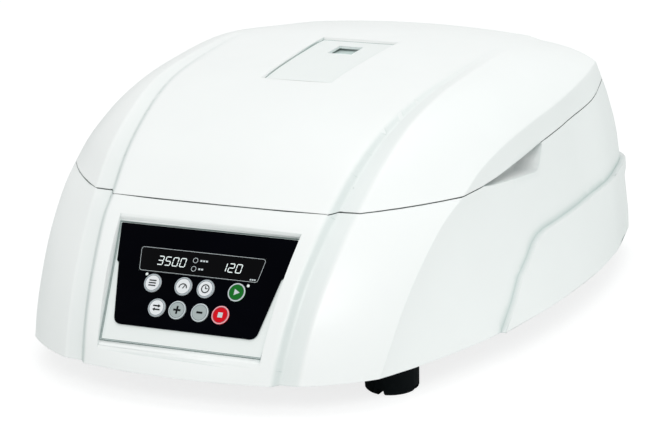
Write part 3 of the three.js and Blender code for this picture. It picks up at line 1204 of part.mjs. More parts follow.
piece('switch_bezel', bezel, finish.black).position.x = SERVICE_OFFSET;

const rockerHalf = BEZEL_BODY_HALF - BEZEL_WALL - SLIDE_FIT;
const rockerTilt = radians(ROCKER_DEGREES);
const rockerOutline = [
  [-ROCKER_BACK, -ROCKER_BACK_HALF], [0, -ROCKER_SHOULDER], [ROCKER_PROUD, -ROCKER_REACH],
  [ROCKER_PROUD - ROCKER_REACH * Math.tan(rockerTilt), 0],
  [ROCKER_PROUD, ROCKER_REACH], [0, ROCKER_SHOULDER], [-ROCKER_BACK, ROCKER_BACK_HALF],
];
const rocker = piece('switch_rocker', prismX(rockerOutline, -rockerHalf, rockerHalf), finish.black);
rocker.position.set(SERVICE_OFFSET, flangeFront - ROCKER_PIVOT_DEPTH, serviceMiddle);
rocker.rotation.x = rockerTilt;

// Power board on posts behind the motor
const powerFront = placeY(BOARD_FRONT_SHARE);
const boardLow = plateTop + BOARD_LIFT;
const boardHigh = boardLow + BOARD_THICKNESS;
const partsLow = boardHigh - BOARD_THICKNESS / 2;
const powerMiddle = powerFront + BOARD_DEPTH / 2;
const posts = [-1, 1].flatMap((side) => [POST_INSET, BOARD_DEPTH - POST_INSET].map((inset) => disc(
  POST_RADIUS, plateTop + FIT, boardHigh, TINY_ROUND, side * (BOARD_HALF - POST_INSET), powerFront + inset)));
const powerBoard = joined([
  block(-BOARD_HALF, BOARD_HALF, powerFront, powerFront + BOARD_DEPTH, boardLow, boardHigh), ...posts,
  block(-CORE_SIDE, 0, powerMiddle - CORE_SIDE / 2, powerMiddle + CORE_SIDE / 2,
    partsLow, boardHigh + CORE_SIDE),
  disc(CAP_RADIUS, partsLow, boardHigh + CAP_HEIGHT, TINY_ROUND, CORE_SIDE, powerMiddle),
]);
piece('power_board', powerBoard, finish.board);

export default group;
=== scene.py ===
import json
import math

import bmesh
import bpy
import numpy as np
from mathutils import Matrix, Vector
from mathutils.bvhtree import BVHTree


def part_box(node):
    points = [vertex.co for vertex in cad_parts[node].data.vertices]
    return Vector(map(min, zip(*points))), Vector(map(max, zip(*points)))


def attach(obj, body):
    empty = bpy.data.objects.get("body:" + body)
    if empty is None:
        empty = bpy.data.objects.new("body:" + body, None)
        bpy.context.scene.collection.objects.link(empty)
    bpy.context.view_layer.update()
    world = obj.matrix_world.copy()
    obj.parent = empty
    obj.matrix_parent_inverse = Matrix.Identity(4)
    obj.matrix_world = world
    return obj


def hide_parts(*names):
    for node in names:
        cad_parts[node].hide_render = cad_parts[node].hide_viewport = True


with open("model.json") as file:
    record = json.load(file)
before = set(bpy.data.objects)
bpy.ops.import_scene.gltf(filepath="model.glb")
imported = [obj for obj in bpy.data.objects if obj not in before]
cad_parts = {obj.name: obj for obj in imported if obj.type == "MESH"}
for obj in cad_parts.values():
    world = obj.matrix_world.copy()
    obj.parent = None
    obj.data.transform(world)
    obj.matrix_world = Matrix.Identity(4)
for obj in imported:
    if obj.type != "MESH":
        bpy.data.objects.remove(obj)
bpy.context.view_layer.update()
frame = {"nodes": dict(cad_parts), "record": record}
nodes = frame["nodes"]
MM = 0.001

# Sizes of the case in millimetres: half its width, its depth and height over the feet, and its front
HALF = 214.0
DEPTH = 515.5
HEIGHT = 186.0
FOOT = 25.0
FRONT = -260.0
BAND_RELIEF = 4.5
STEP_WIDTH = 5.0

# Curves along the case from front to rear, as shares of half the width, the depth and the height
SPINE_SHARES = [
    (0.393, 0.0155, 0), (0.403, 0.034, 0.127), (0.415, 0.061, 0.262), (0.428, 0.096, 0.4),
    (0.45, 0.1505, 0.559), (0.456, 0.18, 0.6215), (0.477, 0.246, 0.758), (0.501, 0.335, 0.876),
    (0.53, 0.438, 0.949), (0.549, 0.5775, 0.9785), (0.547, 0.752, 0.978), (0.491, 0.942, 0.907),
]
VALLEY_SHARES = [
    (0.495, 0.03, 0), (0.504, 0.05, 0.124), (0.514, 0.0756, 0.253), (0.531, 0.116, 0.398),
    (0.551, 0.1705, 0.55), (0.562, 0.201, 0.621), (0.581, 0.2655, 0.758), (0.595, 0.3566, 0.884),
    (0.61, 0.4496, 0.9516), (0.6145, 0.5775, 0.9785), (0.6075, 0.742, 0.975), (0.561, 0.934, 0.893),
]
CREASE_SHARES = [
    (0.732, 0.101, 0), (0.75, 0.124, 0.1075), (0.766, 0.155, 0.234), (0.789, 0.2045, 0.39),
    (0.816, 0.273, 0.543), (0.836, 0.325, 0.615), (0.8505, 0.3876, 0.696), (0.8705, 0.4767, 0.757),
    (0.883, 0.568, 0.785), (0.89, 0.674, 0.805), (0.8785, 0.8, 0.834), (0.8364, 0.8895, 0.841),
]
BULGE_SHARES = [
    (0.01, -0.004, 0), (0.01, -0.004, 0), (0.01, -0.004, 0), (0.01, -0.004, 0),
    (0.01, -0.004, 0), (0.01, -0.003, 0.005), (0.014, 0, 0.015), (0.014, 0, 0.022),
    (0.014, 0, 0.022), (0.014, 0, 0.022), (0.014, 0.004, 0.016), (0.012, 0.013, 0),
]
FOOTLINE_SHARES = [0.732, 0.7595, 0.7945, 0.8435, 0.8995, 0.935, 0.963, 0.995, 1.008, 1.011, 0.978, 0.928]
CROWN_SHARES = [0.043, 0.012, 0.006, 0.004, 0.004, 0.005, 0.009, 0.015, 0.02, 0.021, 0.022, 0.027]
STEP_SHARES = [0.032, 0.032, 0.032, 0.032, 0.032, 0.032, 0.0295, 0.0215, 0.0135, 0.0055, 0, 0]

# Across the rear: shares of half the width and of the depth
REAR_FOOTLINE_SHARES = [
    (0, 1), (0.17, 0.9995), (0.34, 0.998), (0.491, 0.995), (0.57, 0.9915),
    (0.66, 0.987), (0.74, 0.9805), (0.825, 0.9695), (0.893, 0.94), (0.928, 0.8895),
]

# The seam between lid and base: shares of the depth and of the height
SEAM_SHARES = [
    (-0.2, 0.6205), (0.33, 0.6205), (0.386, 0.6205), (0.432, 0.629), (0.483, 0.645),
    (0.589, 0.6745), (0.671, 0.688), (0.752, 0.705), (0.8, 0.719), (0.84, 0.737), (0.89, 0.7545),
    (0.95, 0.757), (1.2, 0.757),
]

# How the walls flare, and the shares where the rear and the corners begin and end
SIDE_FLARE = 1.5
REAR_FLARE = 1.25
CORNER_FLARE = 3.0
REAR_FROM_SHARE, REAR_TO_SHARE = 0.7, 0.88
CORNER_FROM_SHARE, CORNER_TO_SHARE = 0.6, 0.83
LIFT_TURN_SHARE = 1 / 22

# Painted shade in the groove: its run down the step, and its strength on the step and on the slope, left and
# right
GROOVE_RUN = [0.4, 0.8, 1, 0.95, 0.8, 0.65]
LEFT_GROOVE = (0.65, 0.1)
RIGHT_GROOVE = (0.42, 0.25)
GROOVE_FADE = 0.6
SLOPE_FADE = 5


# Smooth curves through shares
def place(share):
    return np.array([share[0] * HALF, share[1] * DEPTH + FRONT, FOOT + share[2] * HEIGHT])


def through(points, t):
    count = len(points)
    x = (count - 1) * t
    i = int(math.floor(x))
    w = x - i
    if i >= count - 1:
        i = count - 2
        w = 1.0
    p1, p2 = points[i], points[i + 1]
    p0 = points[i - 1] if i > 0 else 2 * points[0] - points[1]
    p3 = points[i + 2] if i + 2 < count else 2 * points[-1] - points[-2]
    gap = [max(float(np.dot(b - a, b - a)) ** 0.25, 1e-4) for a, b in ((p0, p1), (p1, p2), (p2, p3))]
    out = ((p1 - p0) / gap[0] - (p2 - p0) / (gap[0] + gap[1]) + (p2 - p1) / gap[1]) * gap[1]
    back = ((p2 - p1) / gap[1] - (p3 - p1) / (gap[1] + gap[2]) + (p3 - p2) / gap[2]) * gap[1]
    square = 3 * (p2 - p1) - 2 * out - back
    cube = 2 * (p1 - p2) + out + back
    return p1 + out * w + square * w * w + cube * w ** 3


def share_at(shares, t):
    count = len(shares)
    x = t * (count - 1)
    i = min(int(x), count - 2)
    w = x - i
    p0, p1, p2, p3 = shares[max(i - 1, 0)], shares[i], shares[i + 1], shares[min(i + 2, count - 1)]
    square = 2 * p0 - 5 * p1 + 4 * p2 - p3
    cube = 3 * p1 - p0 - 3 * p2 + p3
    value = 0.5 * (2 * p1 + (p2 - p0) * w + square * w * w + cube * w ** 3)
    return min(max(value, min(p1, p2)), max(p1, p2))


def smooth(value, start, end):
    s = min(max((value - start) / (end - start), 0), 1)
    return s * s * (3 - 2 * s)


def eased(count, power=1.6):
    values = []
    for i in range(1, count + 1):
        u = i / count
        values.append(0.5 * (2 * u) ** power if u < 0.5 else 1 - 0.5 * (2 - 2 * u) ** power)
    return values


def cheek_control(valley, crease, bulge):
    return place([(v + c) / 2 + 2 * b for v, c, b in zip(valley, crease, bulge)])


spine_points = np.array([place(share) for share in SPINE_SHARES])
valley_points = np.array([place(share) for share in VALLEY_SHARES])
crease_points = np.array([place(share) for share in CREASE_SHARES])
cheek_shares = zip(VALLEY_SHARES, CREASE_SHARES, BULGE_SHARES)
control_points = np.array([cheek_control(*three) for three in cheek_shares])
rear_points = np.array([place((across, along, 0)) for across, along in REAR_FOOTLINE_SHARES])
rear_dense = np.array([through(rear_points, i / 200) for i in range(201)])

ROWS = 14 * (len(SPINE_SHARES) - 1)
SPINE_STEPS = [1 - (1 - i / 16) ** 1.5 for i in range(17)]
DROP_STEPS = [0.2, 0.4, 0.6, 0.8, 1]
SLOPE_STEPS = eased(10)
CHEEK_STEPS = eased(30)
LEVELS = [(i / 30) ** 1.5 for i in range(1, 31)]
END_MARGIN = 0.0005
TANGENT_STEP = 1e-4
WELDS_PER_MM = 500


# One cross-section of the skin, from the middle to the top of the side wall
def half_row(t):
    edge = through(spine_points, t)
    near = min(max(t, END_MARGIN), 1 - END_MARGIN)
    tangent = through(spine_points, near + TANGENT_STEP) - through(spine_points, near - TANGENT_STEP)
    normal = np.array([0, -tangent[2], tangent[1]])
    normal /= np.linalg.norm(normal)
    turn = t / LIFT_TURN_SHARE
    lift = np.array([0, -1.0, 0]) * max(0, 1 - turn) + normal * min(1, turn)
    lift /= np.linalg.norm(lift)
    crown = share_at(CROWN_SHARES, t) * HEIGHT
    step = share_at(STEP_SHARES, t) * HEIGHT
    row = []
    for s in SPINE_STEPS:
        point = edge + lift * crown * (1 - s * s)
        point[0] = edge[0] * s
        row.append(point)
    inner = through(valley_points, t)
    fade = 1 - share_at(STEP_SHARES, t) / STEP_SHARES[0]
    foot = edge + (inner - edge) * (fade * STEP_WIDTH / (inner[0] - edge[0])) - lift * step
    foot[0] = edge[0] + STEP_WIDTH
    row += [edge + (foot - edge) * s for s in DROP_STEPS]
    row += [foot + (inner - foot) * s for s in SLOPE_STEPS]
    middle, outer = through(control_points, t), through(crease_points, t)
    row += [inner * (1 - s) ** 2 + middle * 2 * s * (1 - s) + outer * s * s for s in CHEEK_STEPS]
    return row


# The wall below a cross-section, down to the foot line
def wall(top, foot):
    rear = smooth(top[1], REAR_FROM_SHARE * DEPTH + FRONT, REAR_TO_SHARE * DEPTH + FRONT)
    corner = smooth(top[0], CORNER_FROM_SHARE * HALF, CORNER_TO_SHARE * HALF)
    power = REAR_FLARE + (CORNER_FLARE - REAR_FLARE) * corner
    line = []
    for level in LEVELS:
        side_flare = level ** SIDE_FLARE
        flare = side_flare + (1 - (1 - level) ** power - side_flare) * rear
        out = top[:2] + (foot[:2] - top[:2]) * flare
        line.append(np.array([out[0], out[1], top[2] + (foot[2] - top[2]) * level]))
    return line


def rear_foot(top):
    across = top[0] / crease_points[-1][0] * rear_points[-1][0]
    return np.array([across, np.interp(across, rear_dense[:, 0], rear_dense[:, 1]), FOOT])


# How much painted shade lies in the groove beside the spine, by point of one cross-section
def groove_row(t, count, step, slope):
    strength = (share_at(STEP_SHARES, t) / STEP_SHARES[0]) ** GROOVE_FADE
    row = [0.0] * (len(SPINE_STEPS) - 1)
    row += [value * step for value in GROOVE_RUN]
    row += [slope * min(1, (1 - s) * SLOPE_FADE) for s in SLOPE_STEPS]
    return [value * strength for value in row] + [0.0] * (count - len(row))


def quads(shape, start):
    index = np.arange(shape[0] * shape[1]).reshape(shape[:2]) + start
    corners = [index[:-1, :-1], index[:-1, 1:], index[1:, 1:], index[1:, :-1]]
    return np.stack(corners, axis=-1).reshape(-1, 4)


def mirrored(grid):
    return np.concatenate([grid[:, :0:-1] * np.array([-1.0, 1.0, 1.0]), grid], axis=1)


def face_normals(points, tris):
    return np.cross(points[tris[:, 1]] - points[tris[:, 0]], points[tris[:, 2]] - points[tris[:, 0]])


# Points that fall together become one, and faces without area go
def welded(points, groove, faces):
    key = np.round(points * WELDS_PER_MM).astype(np.int64)
    _, first, back = np.unique(key, axis=0, return_index=True, return_inverse=True)
    points, groove, faces = points[first], groove[first], back.reshape(-1)[faces]
    tris = np.concatenate([faces[:, [0, 1, 2]], faces[:, [0, 2, 3]]])
    keep = (tris[:, 0] != tris[:, 1]) & (tris[:, 1] != tris[:, 2]) & (tris[:, 0] != tris[:, 2])
    tris = tris[keep]
    size = np.linalg.norm(face_normals(points, tris), axis=1)
    return points, tris[size > 1e-6], groove


# The whole skin: both halves of the top and sides, then the rear wall
def skin_mesh():
    rows, grooves = [], []
    for i in range(ROWS + 1):
        t = i / ROWS
        row = half_row(t)
        top = row[-1]
        foot = np.array([share_at(FOOTLINE_SHARES, t) * HALF, top[1], FOOT])
        if i == ROWS:
            foot = rear_foot(top)
        rows.append(row + wall(top, foot))
        left = groove_row(t, len(rows[-1]), *LEFT_GROOVE)
        grooves.append(left[:0:-1] + groove_row(t, len(rows[-1]), *RIGHT_GROOVE))
    across = len(half_row(0.5))
    grid = np.array(rows)
    full = mirrored(grid)
    rear = np.array([[top] + wall(top, rear_foot(top)) for top in grid[-1, :across]]).transpose(1, 0, 2)
    rear = mirrored(rear)
    points = np.concatenate([full.reshape(-1, 3), rear.reshape(-1, 3)])
    groove = np.array(grooves).reshape(-1)
    start = len(groove)
    groove = np.concatenate([groove, np.zeros(len(points) - start)])
    faces = np.concatenate([quads(full.shape, 0), quads(rear.shape, start)])
    return welded(points, groove, faces)


def point_normals(points, tris):
    cross = face_normals(points, tris)
    total = np.zeros_like(points)
    for corner in range(3):
        np.add.at(total, tris[:, corner], cross)
    size = np.linalg.norm(total, axis=1)
    return total / np.maximum(size, 1e-12)[:, None]


# Creases of the skin are rounded a little, as a moulding is
CREASE_ANGLE = math.radians(12)
CREASE_SPREAD = 0.75
SPREAD_TURNS = 2
ROUND_TURNS = 4


def sorted_edges(tris):
    edges = np.concatenate([tris[:, [0, 1]], tris[:, [1, 2]], tris[:, [2, 0]]])
    low, high = edges.min(1), edges.max(1)
    face = np.tile(np.arange(len(tris)), 3)
    order = np.lexsort((high, low))
    return low[order], high[order], face[order]


def rounded(points, tris):
    low, high, face = sorted_edges(tris)
    same = (low[1:] == low[:-1]) & (high[1:] == high[:-1])
    cross = face_normals(points, tris)
    unit = cross / np.maximum(np.linalg.norm(cross, axis=1), 1e-12)[:, None]
    agree = (unit[face[1:]] * unit[face[:-1]]).sum(1)
    sharp = np.zeros(len(points))
    hit = same & (agree < math.cos(CREASE_ANGLE))
    sharp[low[1:][hit]] = 1
    sharp[high[1:][hit]] = 1
    lone = np.ones(len(low), bool)
    lone[1:][same] = False
    lone[:-1][same] = False
    pairs = np.unique(np.stack([low, high], 1), axis=0)
    both = np.concatenate([pairs, pairs[:, ::-1]])
    for _ in range(SPREAD_TURNS):
        spread = sharp.copy()
        np.maximum.at(spread, both[:, 0], sharp[both[:, 1]] * CREASE_SPREAD)
        sharp = spread
    count = np.bincount(both[:, 0], minlength=len(points)).astype(float)
    sharp[low[lone]] = 0
    sharp[high[lone]] = 0
    for _ in range(ROUND_TURNS):
        mean = np.zeros_like(points)
        np.add.at(mean, both[:, 0], points[both[:, 1]])
        mean /= np.maximum(count, 1)[:, None]
        points = points + (mean - points) * (0.5 * sharp)[:, None]
    return points


# A surface that answers where its nearest point is, with its normal, distance and painted groove shade
class Skin:
    def __init__(self, points, tris, groove):
        self.groove = groove
        self.points = points * MM
        self.tris = tris
        self.normals = point_normals(points, tris)
        self.tree = BVHTree.FromPolygons([Vector(p) for p in self.points], tris.tolist())

    def nearest(self, co):
        where, _, index, distance = self.tree.find_nearest(co)
        corners = self.tris[index]
        a, b, c = self.points[corners]
        side, other, reach = b - a, c - a, np.array(where) - a
        d00, d01, d11 = side @ side, side @ other, other @ other
        d20, d21 = reach @ side, reach @ other
        area = d00 * d11 - d01 * d01
        v = (d11 * d20 - d01 * d21) / area if abs(area) > 1e-24 else 0
        w = (d00 * d21 - d01 * d20) / area if abs(area) > 1e-24 else 0
        weights = np.array([1 - v - w, v, w])
        normal = Vector(weights @ self.normals[corners])
        groove = float(weights @ self.groove[corners])
        return where, normal.normalized(), distance, min(max(groove, 0), 1)


raw_points, skin_tris, skin_groove = skin_mesh()
if point_normals(raw_points, skin_tris)[np.argmax(raw_points[:, 2])][2] < 0:
    skin_tris = skin_tris[:, ::-1]
soft_points = rounded(raw_points, skin_tris)
band_points = soft_points + point_normals(soft_points, skin_tris) * BAND_RELIEF
skin = Skin(soft_points, skin_tris, skin_groove)
band_skin = Skin(band_points, skin_tris, skin_groove)


# Mesh helpers
def new_object(name, mesh):
    made = bpy.data.objects.new(name, mesh)
    bpy.context.scene.collection.objects.link(made)
    return made


def node_mesh(node):
    bm = bmesh.new()
    bm.from_mesh(nodes[node].data)
    bmesh.ops.remove_doubles(bm, verts=bm.verts, dist=2e-6)
    return bm


def mesh_from(bm, name):
    mesh = bpy.data.meshes.new(name)
    bm.to_mesh(mesh)
    bm.free()
    return mesh


def smooth_below(mesh, angle):
    mesh.shade_smooth()
    mesh.set_sharp_from_angle(angle=math.radians(angle))


def inside(point, low, high, room):
    return all(a - room < value < b + room for value, a, b in zip(point, low, high))


# Height over the seam in millimetres
seam_alongs, seam_heights = np.array(SEAM_SHARES).T


def seam_gap(point):
    share = (point.y / MM - FRONT) / DEPTH
    return point.z / MM - FOOT - HEIGHT * float(np.interp(share, seam_alongs, seam_heights))


# The raised band lies below the seam, on the sides and the rear
BAND_CLEAR = 6
BAND_SIDE_SHARE = 0.62
BAND_REAR_SHARE = 0.8


def band_side(point):
    beside = abs(point.x) > BAND_SIDE_SHARE * HALF * MM
    behind = point.y > (BAND_REAR_SHARE * DEPTH + FRONT) * MM
    return seam_gap(point) < -BAND_CLEAR and (beside or behind)


# The narrow top of the raised band
LEDGE_FROM = 0.6
LEDGE_PAST = 0.4


def on_ledge(point):
    where, normal, distance, _ = skin.nearest(point)
    in_band = LEDGE_FROM * MM < distance < (BAND_RELIEF + LEDGE_PAST) * MM
    return in_band and (point - where).dot(normal) > 0 and seam_gap(point) < -BAND_CLEAR


# The ramp before the lid plate and the walls behind and right of it stay pale: painted shade is taken off
# them
RECESS_LOW = 180.0
RECESS_FRONT_SHARE = 0.38
RECESS_ROOM = 6.0
RECESS_LEFT = 1.0
lid_plate_low, lid_plate_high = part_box("lid_top_plate")


def in_pale_recess(point):
    front = (RECESS_FRONT_SHARE * DEPTH + FRONT) * MM
    across = lid_plate_low[0] + RECESS_LEFT * MM < point.x < lid_plate_high[0] + RECESS_ROOM * MM
    along = front < point.y < lid_plate_high[1] + RECESS_ROOM * MM
    return across and along and point.z > RECESS_LOW * MM


# The pockets for the fingers are the stated openings, with the room around them; painted shade is added at
# their rim and taken from their depth
FINGER_ROOM = 13.0
OPENINGS = frame["record"]["physics"]["openings"]
FINGER_BOXES = [opening["box_m"] for opening in OPENINGS if opening["name"].startswith("finger")]


def in_finger_recess(point):
    return any(inside(point, *box, FINGER_ROOM * MM) for box in FINGER_BOXES)


# A face of a shell is plain, or lies on the skin or on the raised band
PLAIN, ON_SKIN, ON_BAND = 0, 1, 2
SURFACES = {ON_SKIN: skin, ON_BAND: band_skin}
CENTRE_REACH = 1.9
CORNER_REACH = 2.3
SNAP_REACH = 2.5
SAME_WAY = 0.6


def mark_faces(bm):
    mark = bm.faces.layers.int.new("skin")
    for face in bm.faces:
        centre = face.calc_center_median()
        for kind, surface in SURFACES.items():
            if kind == ON_BAND and not band_side(centre):
                continue
            _, normal, distance, _ = surface.nearest(centre)
            close = distance < CENTRE_REACH * MM and normal.dot(face.normal) > SAME_WAY
            if close and all(surface.nearest(vert.co)[2] < CORNER_REACH * MM for vert in face.verts):
                face[mark] = kind
                break
    return mark


# A point is laid on its surface, and tells its normal and painted groove shade
def settle(vert, mark):
    kinds = {face[mark] for face in vert.link_faces} - {PLAIN}
    if not kinds:
        _, _, distance, groove = skin.nearest(vert.co)
        return None, groove if distance < SNAP_REACH * MM else 0.0
    kind = min(kinds)
    where, normal, distance, groove = SURFACES[kind].nearest(vert.co)
    if distance < SNAP_REACH * MM and len(kinds) == 1:
        vert.co = where
    return normal, groove if kind == ON_SKIN else 0.0


# Edges are split where the skin bends or the painted groove shade changes
LONGEST_EDGE = 9.0
FINEST_EDGE = 1.1
SHADED_EDGE = 1.76
EDGE_TURN = math.radians(4.5)
EDGE_SHADE = 0.2
SPLIT_TURNS = 12


def needs_split(edge, mark, settled):
    if not any(face[mark] for face in edge.link_faces):
        return False
    length = edge.calc_length()
    (first, first_shade), (second, second_shade) = (settled[vert] for vert in edge.verts)
    bend = first.angle(second, 0) if first is not None and second is not None else 0
    bent = bend > EDGE_TURN and length > FINEST_EDGE * MM
    shaded = abs(first_shade - second_shade) > EDGE_SHADE and length > SHADED_EDGE * MM
    return length > LONGEST_EDGE * MM or bent or shaded


def refine(bm, mark):
    settled = {}
    for _ in range(SPLIT_TURNS):
        for vert in bm.verts:
            if vert not in settled:
                settled[vert] = settle(vert, mark)
        split = [edge for edge in bm.edges if needs_split(edge, mark, settled)]
        if not split:
            break
        bmesh.ops.subdivide_edges(bm, edges=split, cuts=1)
        bmesh.ops.triangulate(bm, faces=[face for face in bm.faces if len(face.verts) > 3])
    bm.normal_update()
    return settled


# Painted shade added to a point, or taken from it below zero
LEDGE_REACH = 1.2
LEDGE_SHADE = 0.38
RECESS_SHADE = -0.7
FINGER_RIM = 3.0
FINGER_RIM_SHADE = 0.12
FINGER_DEEP_SHADE = -0.3


def crease_shade(vert, mark, groove):
    plain = [face for face in vert.link_faces if face[mark] == PLAIN]
    if not plain:
        return groove
    off_skin = skin.nearest(vert.co)[2]
    if off_skin < LEDGE_REACH * MM and any(on_ledge(face.calc_center_median()) for face in plain):
        return LEDGE_SHADE
    if in_pale_recess(vert.co):
        return RECESS_SHADE
    if in_finger_recess(vert.co):
        return FINGER_RIM_SHADE if off_skin < FINGER_RIM * MM else FINGER_DEEP_SHADE
    return groove


# The faces on the skin take the normals of the skin, the others those of their own shape
SHELL_ANGLE = 34
NORMAL_AGREES = 0.3


def lay_normals(mesh, kinds):
    smooth_below(mesh, SHELL_ANGLE)
    corners = [corner.vector.copy() for corner in mesh.corner_normals]
    for polygon, kind in zip(mesh.polygons, kinds):
        if kind == PLAIN:
            continue
        for loop in polygon.loop_indices:
            where = mesh.vertices[mesh.loops[loop].vertex_index].co
            normal = SURFACES[kind].nearest(where)[1]
            if normal.dot(polygon.normal) > NORMAL_AGREES:
                corners[loop] = normal
    mesh.normals_split_custom_set(corners)


# A carried-over shell: faces on the skin are refined and laid on the rounded skin
LIP_REACH = 0.7


def shell_piece(name, node, body):
    bm = node_mesh(node)
    bmesh.ops.triangulate(bm, faces=bm.faces)
    bm.normal_update()
    mark = mark_faces(bm)
    settled = refine(bm, mark)
    kinds = [face[mark] for face in bm.faces]
    gaps = [seam_gap(face.calc_center_median()) for face in bm.faces]
    # Faces along the seam take the seam lip look, whose strong painted shade draws the dark line of the
    # closed seam
    lips = [kind == PLAIN and abs(gap) < LIP_REACH for kind, gap in zip(kinds, gaps)]
    # Each point keeps its painted shade in the crease attribute, which the material adds to its ambient
    # occlusion
    shades = []
    for vert in bm.verts:
        _, groove = settled[vert] if vert in settled else settle(vert, mark)
        shades.append(crease_shade(vert, mark, groove))
    mesh = mesh_from(bm, name)
    mesh.attributes.new("crease", "FLOAT", "POINT").data.foreach_set("value", shades)
    lay_normals(mesh, kinds)
    made = new_object(name, mesh)
    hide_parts(node)
    dress(made, "shell", body)
    dress_faces(made, "seam", lips)


# A carried-over plain part: welded, its flat faces joined up, its edges bevelled
FLAT_ANGLE = math.radians(0.5)


def plain_piece(name, node, bevel=0.4, segments=2, angle=30):
    bm = node_mesh(node)
    bmesh.ops.dissolve_limit(bm, angle_limit=FLAT_ANGLE, verts=bm.verts, edges=bm.edges)
    mesh = mesh_from(bm, name)
    smooth_below(mesh, angle)
    made = new_object(name, mesh)
    worn = made.modifiers.new("bevel", "BEVEL")
    worn.width = bevel * MM
    worn.segments = segments
    worn.limit_method = "ANGLE"
    worn.angle_limit = math.radians(angle)
    worn.harden_normals = True
    worn.use_clamp_overlap = True
    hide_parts(node)
    return made


# Procedural materials
def material(name):
    made = bpy.data.materials.new(name)
    made.use_nodes = True
    tree = made.node_tree
    return made, tree, tree.nodes["Principled BSDF"]


def noise(tree, scale, detail=2.0):
    coords = tree.nodes.new("ShaderNodeTexCoord")
    made = tree.nodes.new("ShaderNodeTexNoise")
    made.inputs["Scale"].default_value = scale
    made.inputs["Detail"].default_value = detail
    made.inputs["Roughness"].default_value = 0.5
    tree.links.new(coords.outputs["Object"], made.inputs["Vector"])
    return made.outputs["Fac"]


def ranged(tree, value, low, high, start=0.3, end=0.7):
    made = tree.nodes.new("ShaderNodeMapRange")
    made.inputs["From Min"].default_value = start
    made.inputs["From Max"].default_value = end
    made.inputs["To Min"].default_value = low
    made.inputs["To Max"].default_value = high
    tree.links.new(value, made.inputs["Value"])
    return made.outputs["Result"]


def tinted(tree, value, first, second):
    made = tree.nodes.new("ShaderNodeValToRGB")
    made.color_ramp.elements[0].position = 0.35
    made.color_ramp.elements[1].position = 0.65
    made.color_ramp.elements[0].color = (*first, 1)
    made.color_ramp.elements[1].color = (*second, 1)
    tree.links.new(value, made.inputs["Fac"])
    return made.outputs["Color"]


def combined(tree, operation, first, second):
    made = tree.nodes.new("ShaderNodeMath")
    made.operation = operation
    made.use_clamp = True
    tree.links.new(first, made.inputs[0])
    tree.links.new(second, made.inputs[1])
    return made.outputs[0]


# Painted shade in grooves, seams and corners, from ambient occlusion and the crease attribute, between a
# dark and an open corner
DARK_CORNER, OPEN_CORNER = 0.3, 0.95


def painted_corner_shade(tree, colour, reach, shade):
    near = tree.nodes.new("ShaderNodeAmbientOcclusion")
    near.samples = 8
    near.inputs["Distance"].default_value = reach * MM
    occluded_shade = ranged(tree, near.outputs["AO"], 1, 0, DARK_CORNER, OPEN_CORNER)
    crease = tree.nodes.new("ShaderNodeAttribute")
    crease.attribute_name = "crease"
    mix = tree.nodes.new("ShaderNodeMix")
    mix.data_type = "RGBA"
    mix.blend_type = "MULTIPLY"
    tree.links.new(combined(tree, "ADD", occluded_shade, crease.outputs["Fac"]), mix.inputs["Factor"])
    tree.links.new(colour, mix.inputs["A"])
    mix.inputs["B"].default_value = (*shade, 1)
    return mix.outputs["Result"]


# Grain and rounded edges in the normal
GRAIN_DEPTH = 0.05
ROUGH_VARY = 0.04


def surface_grain(tree, grain, bump, edge):
    raised = tree.nodes.new("ShaderNodeBump")
    raised.inputs["Strength"].default_value = bump
    raised.inputs["Distance"].default_value = GRAIN_DEPTH * MM
    tree.links.new(noise(tree, grain, 3), raised.inputs["Height"])
    if edge:
        worn = tree.nodes.new("ShaderNodeBevel")
        worn.samples = 6
        worn.inputs["Radius"].default_value = edge * MM
        tree.links.new(worn.outputs["Normal"], raised.inputs["Normal"])
    return raised.outputs["Normal"]


def look(name, colour, rough, metal=0.0, vary=0.02, grain=1600.0, bump=0.04, edge=0.0, broad=14.0,
         specular=0.5, shade=None, reach=6.0):
    made, tree, shader = material(name)
    darker = [max(0, part * (1 - vary)) for part in colour]
    lighter = [min(1, part * (1 + vary)) for part in colour]
    base = tinted(tree, noise(tree, broad, 3), darker, lighter)
    if shade:
        base = painted_corner_shade(tree, base, reach, shade)
    tree.links.new(base, shader.inputs["Base Color"])
    roughness = ranged(tree, noise(tree, broad * 5, 4), rough - ROUGH_VARY, rough + ROUGH_VARY)
    tree.links.new(roughness, shader.inputs["Roughness"])
    tree.links.new(surface_grain(tree, grain, bump, edge), shader.inputs["Normal"])
    shader.inputs["Specular IOR Level"].default_value = specular
    shader.inputs["Metallic"].default_value = metal
    return made


def pane_look(name):
    made, tree, shader = material(name)
    colour = tinted(tree, noise(tree, 40), (0.75, 0.86, 0.84), (0.79, 0.9, 0.88))
    tree.links.new(colour, shader.inputs["Base Color"])
    tree.links.new(ranged(tree, noise(tree, 90), 0.04, 0.1), shader.inputs["Roughness"])
    shader.inputs["Transmission Weight"].default_value = 0.06
    shader.inputs["IOR"].default_value = 1.49
    return made


def digit_look(name):
    made, tree, shader = material(name)
    colour = tinted(tree, noise(tree, 300), (0.6, 0.66, 0.66), (0.7, 0.76, 0.75))
    tree.links.new(colour, shader.inputs["Base Color"])
    shader.inputs["Roughness"].default_value = 0.4
    shader.inputs["Emission Color"].default_value = (0.86, 0.95, 0.93, 1)
    shader.inputs["Emission Strength"].default_value = 0.35
    return made


